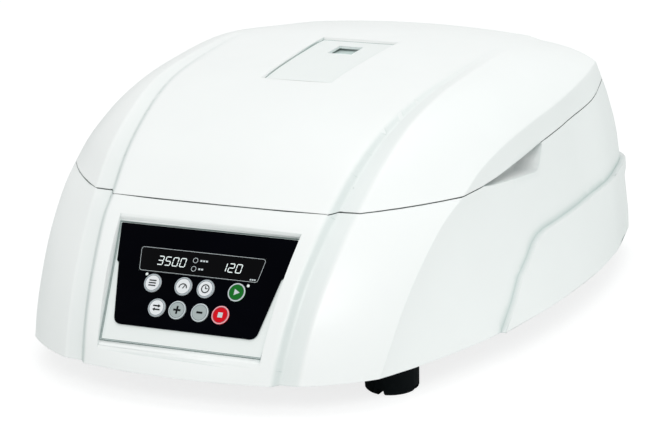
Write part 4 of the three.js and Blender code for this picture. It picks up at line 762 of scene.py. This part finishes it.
looks = {
    # The shell and lid plate looks darken towards corners and recesses with painted shade from ambient
    # occlusion
    "shell": look("case_plastic", (0.89, 0.905, 0.9), 0.36, edge=0.7, vary=0.006, bump=0.06,
                  shade=(0.58, 0.67, 0.655), reach=13),
    # The seam lip is white, darkened by strong painted shade where the seam is closed
    "seam": look("seam_lip_painted_shade", (0.86, 0.88, 0.87), 0.5, bump=0.05, shade=(0.14, 0.19, 0.18), reach=3),
    "lid_plate": look("lid_plate_plastic", (0.83, 0.86, 0.85), 0.36, edge=0.4, vary=0.006, bump=0.06,
                      shade=(0.76, 0.83, 0.82), reach=6),
    "liner": look("liner_plastic", (0.74, 0.765, 0.765), 0.45, edge=0.6),
    # A grey that paints the shadow in the gaps round the plates
    "gap_shadow": look("gap_shadow_grey", (0.3, 0.36, 0.35), 0.6, vary=0.05, specular=0.2),
    "overlay": look("panel_film", (0.0005, 0.0007, 0.0018), 0.34, vary=0.2, bump=0.03, specular=0.012),
    "lens": look("display_film", (0.001, 0.0011, 0.0016), 0.2, vary=0.2, bump=0.01, specular=0.04),
    "steel": look("brushed_steel", (0.62, 0.63, 0.64), 0.32, metal=1, bump=0.03),
    "sheet": look("zinc_sheet", (0.52, 0.54, 0.55), 0.42, metal=1, vary=0.1, bump=0.08, broad=60),
    "alloy": look("anodised_alloy", (0.6, 0.615, 0.625), 0.36, metal=1, vary=0.04, bump=0.06),
    "rubber": look("black_rubber", (0.0022, 0.0034, 0.004), 0.6, vary=0.25, bump=0.3, grain=900,
                   specular=0.05),
    "black": look("black_moulding", (0.018, 0.019, 0.02), 0.45, vary=0.2, bump=0.2, grain=1200),
    "motor": look("motor_paint", (0.05, 0.053, 0.058), 0.42, metal=0.2, vary=0.15, bump=0.2),
    "board": look("circuit_board", (0.02, 0.13, 0.05), 0.4, vary=0.2, bump=0.1),
    "sleeve": look("blue_sleeve", (0.05, 0.16, 0.36), 0.38, vary=0.08, bump=0.1),
    "lamp": look("lamp_dome", (0.86, 0.92, 0.9), 0.2),
    "key_white": look("key_white", (0.78, 0.8, 0.82), 0.4, vary=0.015, specular=0.3),
    "key_grey": look("key_grey", (0.38, 0.43, 0.43), 0.4, vary=0.03, specular=0.2),
    "key_green": look("key_green", (0.003, 0.13, 0.012), 0.4, vary=0.05, specular=0.12),
    "key_red": look("key_red", (0.62, 0.002, 0.01), 0.4, vary=0.04, specular=0.1),
    "key_rim": look("key_rim", (0.42, 0.47, 0.5), 0.4, vary=0.03, specular=0.2),
    "key_rim_red": look("key_rim_red", (0.85, 0.36, 0.4), 0.3, vary=0.03),
    "key_ring": look("key_ring", (0.09, 0.11, 0.13), 0.5, vary=0.1, specular=0.1),
    "ink": look("ink", (0.004, 0.005, 0.006), 0.6, vary=0.2, specular=0.05),
    "print": look("light_print", (0.55, 0.6, 0.62), 0.4, vary=0.05),
    "pane": pane_look("sight_pane"),
    "digit": digit_look("digit_glow"),
}


def dress(made, finish, body):
    made.data.materials.clear()
    made.data.materials.append(looks[finish])
    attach(made, body)


def dress_faces(made, finish, chosen):
    made.data.materials.append(looks[finish])
    for polygon, second in zip(made.data.polygons, chosen):
        polygon.material_index = 1 if second else 0


# The case and the lid
shell_piece("case_shell", "base_housing", "base")
shell_piece("lid_cover", "lid_shell", "lid")

# Panel frame in millimetres: u across, v up the panel, w out of its face
PANEL_LEAN = math.radians(36.6)
PANEL_FRONT_SHARE = 0.0335
PANEL_FOOT_SHARE = 0.1
PANEL = Matrix((
    (1, 0, 0, 0),
    (0, math.sin(PANEL_LEAN), -math.cos(PANEL_LEAN), PANEL_FRONT_SHARE * DEPTH + FRONT),
    (0, math.cos(PANEL_LEAN), math.sin(PANEL_LEAN), PANEL_FOOT_SHARE * HEIGHT + FOOT),
    (0, 0, 0, 1)))
HALF_TOP = 81.2
HALF_FOOT = 72.6
LENGTH = 99.0
FILM_LOW = 0.3
FILM_TOP = 1.1
PRINT = 0.06
PRISM_ANGLE = 35
LATHE_ANGLE = 40
EDGE_USE = 0.48


# A flat shape with holes, given its thickness along w
def prism(name, outlines, low, high, holes=(), matrix=PANEL, bevel=0.0):
    curve = bpy.data.curves.new(name, "CURVE")
    curve.dimensions = "2D"
    curve.fill_mode = "BOTH"
    for outline in [*outlines, *holes]:
        spline = curve.splines.new("POLY")
        spline.points.add(len(outline) - 1)
        for point, (u, v) in zip(spline.points, outline):
            point.co = (u, v, 0, 1)
        spline.use_cyclic_u = True
    curve.extrude = (high - low) / 2 - bevel
    curve.bevel_depth = bevel
    curve.bevel_resolution = 2
    curve.offset = -bevel
    holder = new_object(name + "_curve", curve)
    bpy.context.view_layer.update()
    mesh = bpy.data.meshes.new_from_object(holder.evaluated_get(bpy.context.evaluated_depsgraph_get()))
    bpy.data.objects.remove(holder)
    bm = bmesh.new()
    bm.from_mesh(mesh)
    bpy.data.meshes.remove(mesh)
    bmesh.ops.remove_doubles(bm, verts=bm.verts, dist=1e-4)
    for vert in bm.verts:
        vert.co = (matrix @ (vert.co + Vector((0, 0, (low + high) / 2)))) * MM
    bmesh.ops.recalc_face_normals(bm, faces=bm.faces)
    clean = mesh_from(bm, name)
    smooth_below(clean, PRISM_ANGLE)
    return new_object(name, clean)


# A shape printed on the film
def printed(name, outlines, finish, holes=()):
    dress(prism(name, outlines, FILM_TOP, FILM_TOP + PRINT, holes), finish, "base")


def arc(cx, cy, radius, start, end, steps):
    turns = [math.radians(start + (end - start) * i / steps) for i in range(steps + 1)]
    return [(cx + radius * math.cos(turn), cy + radius * math.sin(turn)) for turn in turns]


def circle(u, v, radius, count=40):
    return arc(u, v, radius, 0, 360, count)[:-1]


def bar(u0, v0, u1, v1):
    return [(u0, v0), (u1, v0), (u1, v1), (u0, v1)]


def smooth_outline(points, radii, steps=6):
    made = []
    for i, (corner, radius) in enumerate(zip(points, radii)):
        p = Vector(corner)
        a = Vector(points[i - 1]) - p
        b = Vector(points[(i + 1) % len(points)]) - p
        reach = min(radius / math.tan(a.angle(b) / 2), a.length * EDGE_USE, b.length * EDGE_USE)
        start, end = p + a.normalized() * reach, p + b.normalized() * reach
        for k in range(steps + 1):
            s = k / steps
            made.append(tuple(start * (1 - s) ** 2 + p * 2 * s * (1 - s) + end * s * s))
    return made


# Keys and lamps: their place as shares of the panel's half width at the top and of its length
KEY_RADIUS = 7.6
KEY_PLACE_SHARES = {
    "key_program": (-0.467, 0.512), "key_speed": (-0.124, 0.512),
    "key_time": (0.124, 0.512), "key_start": (0.467, 0.512),
    "key_mode": (-0.354, 0.311), "key_plus": (-0.125, 0.311),
    "key_minus": (0.125, 0.311), "key_stop": (0.354, 0.311),
}
LED_PLACE_SHARES = {"led_program": (-0.56, 0.583), "led_run": (0.569, 0.578)}


def panel_place(shares):
    return shares[0] * HALF_TOP, shares[1] * LENGTH


key_spots = {name: panel_place(shares) for name, shares in KEY_PLACE_SHARES.items()}
led_spots = {name: panel_place(shares) for name, shares in LED_PLACE_SHARES.items()}

# The black film, with a hole for each key, each lamp and the display
FILM_RIGHT_SHARES = [(0.985, 0.995), (0.93, 0.672), (0.905, 0.655), (0.785, 0.143)]
FILM_RADII = [1.2, 1.5, 1.5, 7.5, 7.5, 1.5, 1.5, 1.2]
DISPLAY_LOW, DISPLAY_HIGH = 59.9, 80.7
DISPLAY_HALF_LOW, DISPLAY_HALF_HIGH = 53.8, 57.1
DISPLAY_RADII = [0.3] * 4
LENS_GAP = 0.25
LENS_WIDTH_SHARE = 0.996
KEY_GAP = 0.35
LED_HOLE = 1.5


def display_outline(gap=0.0, width=1.0):
    low, high = DISPLAY_LOW + gap, DISPLAY_HIGH - gap
    foot, head = DISPLAY_HALF_LOW * width, DISPLAY_HALF_HIGH * width
    return smooth_outline([(-foot, low), (foot, low), (head, high), (-head, high)], DISPLAY_RADII)


def panel_film():
    right = [panel_place(shares) for shares in FILM_RIGHT_SHARES]
    outline = right + [(-u, v) for u, v in reversed(right)]
    holes = [circle(*spot, KEY_RADIUS + KEY_GAP) for spot in key_spots.values()]
    holes += [circle(*spot, LED_HOLE, 20) for spot in led_spots.values()]
    holes.append(display_outline())
    film = prism("panel_film", [smooth_outline(outline, FILM_RADII)], FILM_LOW, FILM_TOP, holes, bevel=0.15)
    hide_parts("membrane_overlay")
    dress(film, "overlay", "base")


def display_face():
    outline = display_outline(LENS_GAP, LENS_WIDTH_SHARE)
    lens = prism("display_face", [outline], FILM_LOW, FILM_TOP, bevel=0.12)
    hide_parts("display_lens")
    dress(lens, "lens", "base")


# A thin grey line, a painted shadow of the gap, runs down both sides and along the foot of the panel plate
GAP_SHADOW_OUT, GAP_SHADOW_IN, GAP_SHADOW_HIGH = 0.3, 1.0, 0.12


def plate_outline(inset):
    foot, head = HALF_FOOT - inset, HALF_TOP - inset
    return [(-head, LENGTH - inset), (-foot, inset), (foot, inset), (head, LENGTH - inset)]


def panel_gap_shadow():
    band = plate_outline(GAP_SHADOW_OUT) + plate_outline(GAP_SHADOW_IN)[::-1]
    dress(prism("panel_gap_shadow_line", [band], 0.0, GAP_SHADOW_HIGH), "gap_shadow", "base")


dress(plain_piece("panel_face", "panel_plate", bevel=0.5, segments=3), "lid_plate", "base")
panel_film()
display_face()
panel_gap_shadow()

# The frame printed round the display
FRAME_CORNERS = [(-53.19, 60.4), (53.58, 60.4), (56.74, 80.2), (-56.15, 80.2)]
FRAME_RADIUS = 2.8
FRAME_STROKE = 0.3


def display_frame():
    middle_v = sum(v for _, v in FRAME_CORNERS) / len(FRAME_CORNERS)
    inner = []
    for u, v in FRAME_CORNERS:
        inner.append((u - math.copysign(FRAME_STROKE, u), v - math.copysign(FRAME_STROKE, v - middle_v)))
    outline = smooth_outline(FRAME_CORNERS, [FRAME_RADIUS] * 4)
    hole = smooth_outline(inner, [FRAME_RADIUS - FRAME_STROKE] * 4)
    printed("display_outline", [outline], "print", [hole])


display_frame()

# Digits of seven bars
DIGIT_WIDTH = 4.5
DIGIT_HEIGHT = 7.0
DIGIT_PITCH = 6.75
DIGIT_LOW = 66.6
DIGIT_STROKE = 0.72
DIGIT_SLANT = 0.1
BAR_GAP = 0.16 * DIGIT_STROKE
MID = DIGIT_HEIGHT / 2
BARS = {
    "a": ((0, DIGIT_HEIGHT), (DIGIT_WIDTH, DIGIT_HEIGHT)), "g": ((0, MID), (DIGIT_WIDTH, MID)),
    "d": ((0, 0), (DIGIT_WIDTH, 0)), "f": ((0, MID), (0, DIGIT_HEIGHT)),
    "b": ((DIGIT_WIDTH, MID), (DIGIT_WIDTH, DIGIT_HEIGHT)), "e": ((0, 0), (0, MID)),
    "c": ((DIGIT_WIDTH, 0), (DIGIT_WIDTH, MID)),
}
LIT_BARS = {"0": "abcdef", "1": "bc", "2": "abged", "3": "abgcd", "5": "afgcd"}


def digit_bar(start, end):
    start, end = Vector(start), Vector(end)
    along = (end - start).normalized()
    side = Vector((-along.y, along.x)) * DIGIT_STROKE / 2
    tip, shoulder = along * BAR_GAP, along * (BAR_GAP + DIGIT_STROKE / 2)
    return [start + tip, start + shoulder + side, end - shoulder + side,
            end - tip, end - shoulder - side, start + shoulder - side]


def number(name, text, left):
    shapes = []
    for i, character in enumerate(text):
        for lit in LIT_BARS[character]:
            points = digit_bar(*BARS[lit])
            start = left + i * DIGIT_PITCH
            shapes.append([(start + p.x + p.y * DIGIT_SLANT, DIGIT_LOW + p.y) for p in points])
    printed(name, shapes, "digit")


DIGIT_PLACES = {"digits_speed": ("3500", -38.6), "digits_time": ("120", 18.6)}
for name, (text, left) in DIGIT_PLACES.items():
    number(name, text, left)

# Two small rings on the display
MODE_RINGS = {"mode_lamp_upper": (-5.1, 73.1), "mode_lamp_lower": (-5.0, 66.1)}
MODE_RADIUS, MODE_STROKE = 2.25, 0.4
for name, (u, v) in MODE_RINGS.items():
    printed(name, [circle(u, v, MODE_RADIUS, 28)], "print", [circle(u, v, MODE_RADIUS - MODE_STROKE, 28)])


# Rows of short bars that stand for the units: left, foot, width, height, pitch, count
UNIT_ROWS = [
    (-0.8, 72.5, 1.8, 1.4, 2.5, 3),
    (-0.8, 65.5, 1.8, 1.4, 2.5, 2),
    (46.4, 61.7, 1.4, 1.2, 1.9, 3),
]
unit_marks = []
for left, low, width, height, pitch, count in UNIT_ROWS:
    starts = [left + i * pitch for i in range(count)]
    unit_marks += [bar(start, low, start + width, low + height) for start in starts]
printed("unit_marks", unit_marks, "print")


# Turned pieces: a profile of radius and height, turned round the third axis
ON_AXIS = 1e-6


def lathe(name, profile, matrix, segments):
    bm = bmesh.new()
    rings = []
    for radius, height in profile:
        turns = [i / segments * math.tau for i in range(segments if radius > ON_AXIS else 1)]
        points = [Vector((radius * math.cos(turn), radius * math.sin(turn), height)) for turn in turns]
        rings.append([bm.verts.new((matrix @ point) * MM) for point in points])
    for lower, upper in zip(rings, rings[1:]):
        for i in range(segments):
            j = (i + 1) % segments
            below = [lower[i % len(lower)], lower[j % len(lower)]]
            above = [upper[j % len(upper)], upper[i % len(upper)]]
            corners = list(dict.fromkeys(below + above))
            if len(corners) > 2:
                bm.faces.new(corners)
    bmesh.ops.remove_doubles(bm, verts=bm.verts, dist=1e-8)
    bmesh.ops.recalc_face_normals(bm, faces=bm.faces)
    mesh = mesh_from(bm, name)
    smooth_below(mesh, LATHE_ANGLE)
    return new_object(name, mesh)


# Keys: a turned cap with a flange behind the film, a rim, a fine ring and a symbol
KEY_TOP = FILM_TOP + 0.7
FLANGE_WIDTH = 1.7
FLANGE_TOP = -3.3
FLANGE_BACK = -4.7
CAP_EDGE = 0.3
CAP_SHOULDER, CAP_FLAT, CAP_DROP = 1.0, 2.4, 0.02
RIM_DEPTH = 1
RIM_WIDTH = 1.02
RING_OUT, RING_IN = 1.05, 1.4
RING_SUNK, RING_PROUD = 0.05, 0.02
SIGN_SUNK = 0.03
FINISHES = {"key_plus": "key_grey", "key_minus": "key_grey", "key_start": "key_green", "key_stop": "key_red"}
RIM_FINISHES = {"key_plus": "print", "key_minus": "print", "key_start": "print", "key_stop": "key_rim_red"}
SIGN_FINISHES = {"key_start": "print", "key_stop": "print"}


def plus_sign():
    w, h = 3.3, 0.85
    quarter = [(w, -h), (w, h), (h, h)]
    turns = [Matrix.Rotation(math.radians(90 * i), 2) for i in range(4)]
    return [[tuple(turn @ Vector(point)) for turn in turns for point in quarter]], []


def minus_sign():
    return [bar(-2.7, -0.85, 2.7, 0.85)], []


def start_sign():
    return [[(-1.9, -2.6), (2.9, 0), (-1.9, 2.6)]], []


def stop_sign():
    return [bar(-2.1, -2.1, 2.1, 2.1)], []


def time_sign():
    hands = [bar(-0.4, -0.3, 0.4, 2.2), bar(0.4, -0.3, 2.0, 0.5)]
    return [circle(0, 0, 3.7, 36)] + hands, [circle(0, 0, 2.8, 36)]


def speed_sign():
    dial = arc(0, -1.4, 3.8, 0, 180, 18) + arc(0, -1.4, 2.9, 180, 0, 18)
    return [dial, [(-0.5, -1.8), (0.5, -1.8), (1.9, 0.6), (1.2, 1.0)]], []


def program_sign():
    return [bar(-3.2, v - 0.5, 3.2, v + 0.5) for v in (-2.1, 0, 2.1)], []


def mode_sign():
    arrow = [(-3.3, 0.9), (1.2, 0.9), (1.2, 0.0), (3.5, 1.5), (1.2, 3.0), (1.2, 2.1), (-3.3, 2.1)]
    return [arrow, [(-u, -v) for u, v in arrow]], []


SIGNS = {
    "key_program": program_sign, "key_speed": speed_sign, "key_time": time_sign, "key_start": start_sign,
    "key_mode": mode_sign, "key_plus": plus_sign, "key_minus": minus_sign, "key_stop": stop_sign,
}


def key_cap(name, spot):
    r = KEY_RADIUS
    flange = r + FLANGE_WIDTH
    profile = [(0, FLANGE_BACK), (flange, FLANGE_BACK), (flange, FLANGE_TOP), (r, FLANGE_TOP)]
    profile += arc(r - CAP_EDGE, KEY_TOP - CAP_EDGE, CAP_EDGE, 0, 75, 4)
    profile += [(r - CAP_SHOULDER, KEY_TOP - CAP_DROP), (r - CAP_FLAT, KEY_TOP), (0, KEY_TOP)]
    cap = lathe(name + "_cap", profile, spot, 56)
    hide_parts(name)
    dress(cap, FINISHES.get(name, "key_white"), name)
    centres = [spot.inverted() @ (polygon.center / MM) for polygon in cap.data.polygons]
    rim = [c.z > FILM_TOP - RIM_DEPTH and math.hypot(c.x, c.y) > r - RIM_WIDTH for c in centres]
    dress_faces(cap, RIM_FINISHES.get(name, "key_rim"), rim)


def key(name, place):
    spot = PANEL @ Matrix.Translation((*place, 0))
    key_cap(name, spot)
    outer, inner = circle(0, 0, KEY_RADIUS - RING_OUT, 48), circle(0, 0, KEY_RADIUS - RING_IN, 48)
    ring = prism(name + "_ring", [outer], KEY_TOP - RING_SUNK, KEY_TOP + RING_PROUD, [inner], spot)
    dress(ring, "key_ring", name)
    shapes, holes = SIGNS[name]()
    sign = prism(name + "_sign", shapes, KEY_TOP - SIGN_SUNK, KEY_TOP + PRINT, holes, spot)
    dress(sign, SIGN_FINISHES.get(name, "ink"), name)


for name, place_on_panel in key_spots.items():
    key(name, place_on_panel)

# Lamps: flat domes
LED_RADIUS = 1.3
LED_BACK = -3
LED_BASE = FILM_TOP - 0.45
LED_FLAT = 0.34


def led(name, place):
    bow = [(x, LED_BASE + (z - LED_BASE) * LED_FLAT) for x, z in arc(0, LED_BASE, LED_RADIUS, 0, 90, 5)]
    profile = [(0, LED_BACK), (LED_RADIUS, LED_BACK), (LED_RADIUS, LED_BASE)] + bow
    dome = lathe(name + "_dome", profile, PANEL @ Matrix.Translation((*place, 0)), 24)
    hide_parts(name)
    dress(dome, "lamp", "base")


for name, place_on_panel in led_spots.items():
    led(name, place_on_panel)

# Feet: tapered rubber with a chamfered tread
for name in ("foot_front_left", "foot_front_right", "foot_rear_left", "foot_rear_right"):
    dress(plain_piece(name + "_tread", name, bevel=0.5, angle=28), "rubber", "base")

# The plate on the lid, with a grey line round its edge that paints the shadow of its gap, and the pane of
# the sight window
LINE_WIDTH = 1.2
WINDOW_ROOM = 4.0
UPWARD = 0.8
window_low, window_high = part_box("sight_window")


def edge_line(made):
    bm = bmesh.new()
    bm.from_mesh(made.data)
    bm.normal_update()
    upper = [face for face in bm.faces if face.normal.z > UPWARD]
    ring = bmesh.ops.inset_region(bm, faces=upper, thickness=LINE_WIDTH * MM, use_even_offset=True)["faces"]
    chosen = set()
    for face in ring:
        if not inside(face.calc_center_median().xy, window_low, window_high, WINDOW_ROOM * MM):
            chosen.add(face)
    lines = [face in chosen for face in bm.faces]
    bm.to_mesh(made.data)
    bm.free()
    return lines


lid_plate = plain_piece("lid_plate", "lid_top_plate", bevel=0.1, angle=25)
plate_lines = edge_line(lid_plate)
dress(lid_plate, "lid_plate", "lid")
dress_faces(lid_plate, "gap_shadow", plate_lines)
dress(plain_piece("lid_pane", "sight_window", bevel=0.3), "pane", "lid")

# Other carried-over parts: finish, bevel in millimetres, body, nodes
PLAIN_PARTS = [
    ("liner", 0.5, "base", ["deck_panel"]),
    ("rubber", 0.4, "base", ["chamber_gasket", "damper_1", "damper_2", "damper_3", "damper_4"]),
    ("steel", 0.3, "base", ["chamber_bowl", "hinge_base_left", "hinge_base_right"]),
    ("steel", 0.2, "base", ["hinge_pin_left", "hinge_pin_right"]),
    ("sheet", 0.3, "base", ["base_plate", "motor_carrier"]),
    ("motor", 0.4, "base", ["motor_housing"]),
    ("black", 0.3, "base", ["display_module", "mains_inlet", "switch_bezel"]),
    ("black", 0.4, "base", ["lock_body"]),
    ("board", 0.1, "base", ["control_board"]),
    ("board", 0.2, "base", ["power_board"]),
    ("liner", 0.5, "lid", ["lid_liner"]),
    ("liner", 0.4, "lid", ["lid_dome"]),
    ("steel", 0.3, "lid", ["lid_striker", "hinge_lid_left", "hinge_lid_right"]),
    ("steel", 0.4, "lock_bolt", ["lock_bolt"]),
    ("black", 0.4, "switch_rocker", ["switch_rocker"]),
    ("steel", 0.2, "rotor", ["motor_shaft"]),
    ("alloy", 0.4, "rotor", ["rotor_hub", "rotor_plate"]),
    ("black", 0.6, "rotor", ["rotor_nut"]),
    ("sleeve", 0.3, "rotor", [f"tube_sleeve_{i}" for i in range(1, 9)]),
]
for finish, bevel, body, names in PLAIN_PARTS:
    for name in names:
        dress(plain_piece(name + "_part", name, bevel=bevel), finish, body)


# Floor: the camera sees it almost white, and it sheds the light of pale paper
FLOOR_HALF = 9
FLOOR_GLOW = 0.8


def floor_paper():
    made, tree, shader = material("floor_paper")
    seen_colour = tinted(tree, noise(tree, 3), (0.27, 0.275, 0.275), (0.29, 0.295, 0.295))
    tree.links.new(seen_colour, shader.inputs["Base Color"])
    shader.inputs["Roughness"].default_value = 0.9
    shader.inputs["Specular IOR Level"].default_value = 0.0
    glow = tree.nodes.new("ShaderNodeEmission")
    glow.inputs["Strength"].default_value = FLOOR_GLOW
    total = tree.nodes.new("ShaderNodeAddShader")
    tree.links.new(shader.outputs[0], total.inputs[0])
    tree.links.new(glow.outputs[0], total.inputs[1])
    bounce = tree.nodes.new("ShaderNodeBsdfDiffuse")
    bounce_colour = tinted(tree, noise(tree, 3), (0.79, 0.805, 0.8), (0.81, 0.825, 0.82))
    tree.links.new(bounce_colour, bounce.inputs["Color"])
    path = tree.nodes.new("ShaderNodeLightPath")
    seen = tree.nodes.new("ShaderNodeMixShader")
    tree.links.new(path.outputs["Is Camera Ray"], seen.inputs["Fac"])
    tree.links.new(bounce.outputs[0], seen.inputs[1])
    tree.links.new(total.outputs[0], seen.inputs[2])
    tree.links.new(seen.outputs[0], tree.nodes["Material Output"].inputs["Surface"])
    return made


def lay_floor():
    bm = bmesh.new()
    bmesh.ops.create_grid(bm, x_segments=8, y_segments=8, size=FLOOR_HALF)
    floor = new_object("floor", mesh_from(bm, "floor"))
    floor.data.materials.append(floor_paper())


# Soft studio light: place, size in metres, power in watts and colour
LAMPS = {
    "key_lamp": ((1.1, -2.2, 2.2), (1.6, 1.2), 31, (1.0, 0.975, 0.975)),
    "top_lamp": ((0.0, 0.2, 2.6), (2.2, 2.2), 17, (1.0, 0.99, 0.99)),
    "right_lamp": ((2.4, 0.9, 0.9), (1.4, 1.2), 8.5, (0.93, 1.0, 0.98)),
}
LAMP_AIM = Vector((0, 0, 0.1))


def lamp(name, spot, size, power, colour):
    data = bpy.data.lights.new(name, "AREA")
    data.shape = "RECTANGLE"
    data.size, data.size_y = size
    data.energy = power
    data.color = colour
    made = new_object(name, data)
    made.location = spot
    made.rotation_mode = "QUATERNION"
    made.rotation_quaternion = (LAMP_AIM - Vector(spot)).to_track_quat("-Z", "Y")


# A pale surround lights the object, and rays from the camera, gloss and glass see white
SURROUND = (0.955, 1.0, 0.99, 1)
SURROUND_STRENGTH = 0.57


def surround():
    world = bpy.data.worlds.new("studio")
    bpy.context.scene.world = world
    world.use_nodes = True
    tree = world.node_tree
    back = tree.nodes["Background"]
    back.inputs["Color"].default_value = SURROUND
    back.inputs["Strength"].default_value = SURROUND_STRENGTH
    white = tree.nodes.new("ShaderNodeBackground")
    white.inputs["Color"].default_value = (1, 1, 1, 1)
    path = tree.nodes.new("ShaderNodeLightPath")
    seen = combined(tree, "MAXIMUM", path.outputs["Is Camera Ray"], path.outputs["Is Glossy Ray"])
    seen = combined(tree, "MAXIMUM", seen, path.outputs["Is Transmission Ray"])
    mix = tree.nodes.new("ShaderNodeMixShader")
    tree.links.new(seen, mix.inputs["Fac"])
    tree.links.new(back.outputs[0], mix.inputs[1])
    tree.links.new(white.outputs[0], mix.inputs[2])
    tree.links.new(mix.outputs[0], tree.nodes["World Output"].inputs["Surface"])


# Camera at the photo's viewing angle
AZIMUTH = math.radians(27.30)
ELEVATION = math.radians(16.90)
ROLL = math.radians(-2.88)
LENS = 161.84
SENSOR = 36
CAMERA_PLACE = (1.124985, -2.15105, 0.81914)


def camera():
    data = bpy.data.cameras.new("camera")
    data.lens = LENS
    data.sensor_width = SENSOR
    data.clip_start, data.clip_end = 0.05, 60
    made = new_object("camera", data)
    level = Vector((math.cos(AZIMUTH), math.sin(AZIMUTH), 0))
    outward = Vector((math.sin(AZIMUTH), -math.cos(AZIMUTH), 0))
    backward = outward * math.cos(ELEVATION) + Vector((0, 0, math.sin(ELEVATION)))
    upright = backward.cross(level)
    right = math.cos(ROLL) * level + math.sin(ROLL) * upright
    up = -math.sin(ROLL) * level + math.cos(ROLL) * upright
    turned = Matrix((right, up, backward)).transposed().to_4x4()
    turned.translation = Vector(CAMERA_PLACE)
    made.matrix_world = turned
    bpy.context.scene.camera = made


lay_floor()
for name, settings in LAMPS.items():
    lamp(name, *settings)
surround()
camera()
bpy.context.scene.view_settings.view_transform = "Standard"
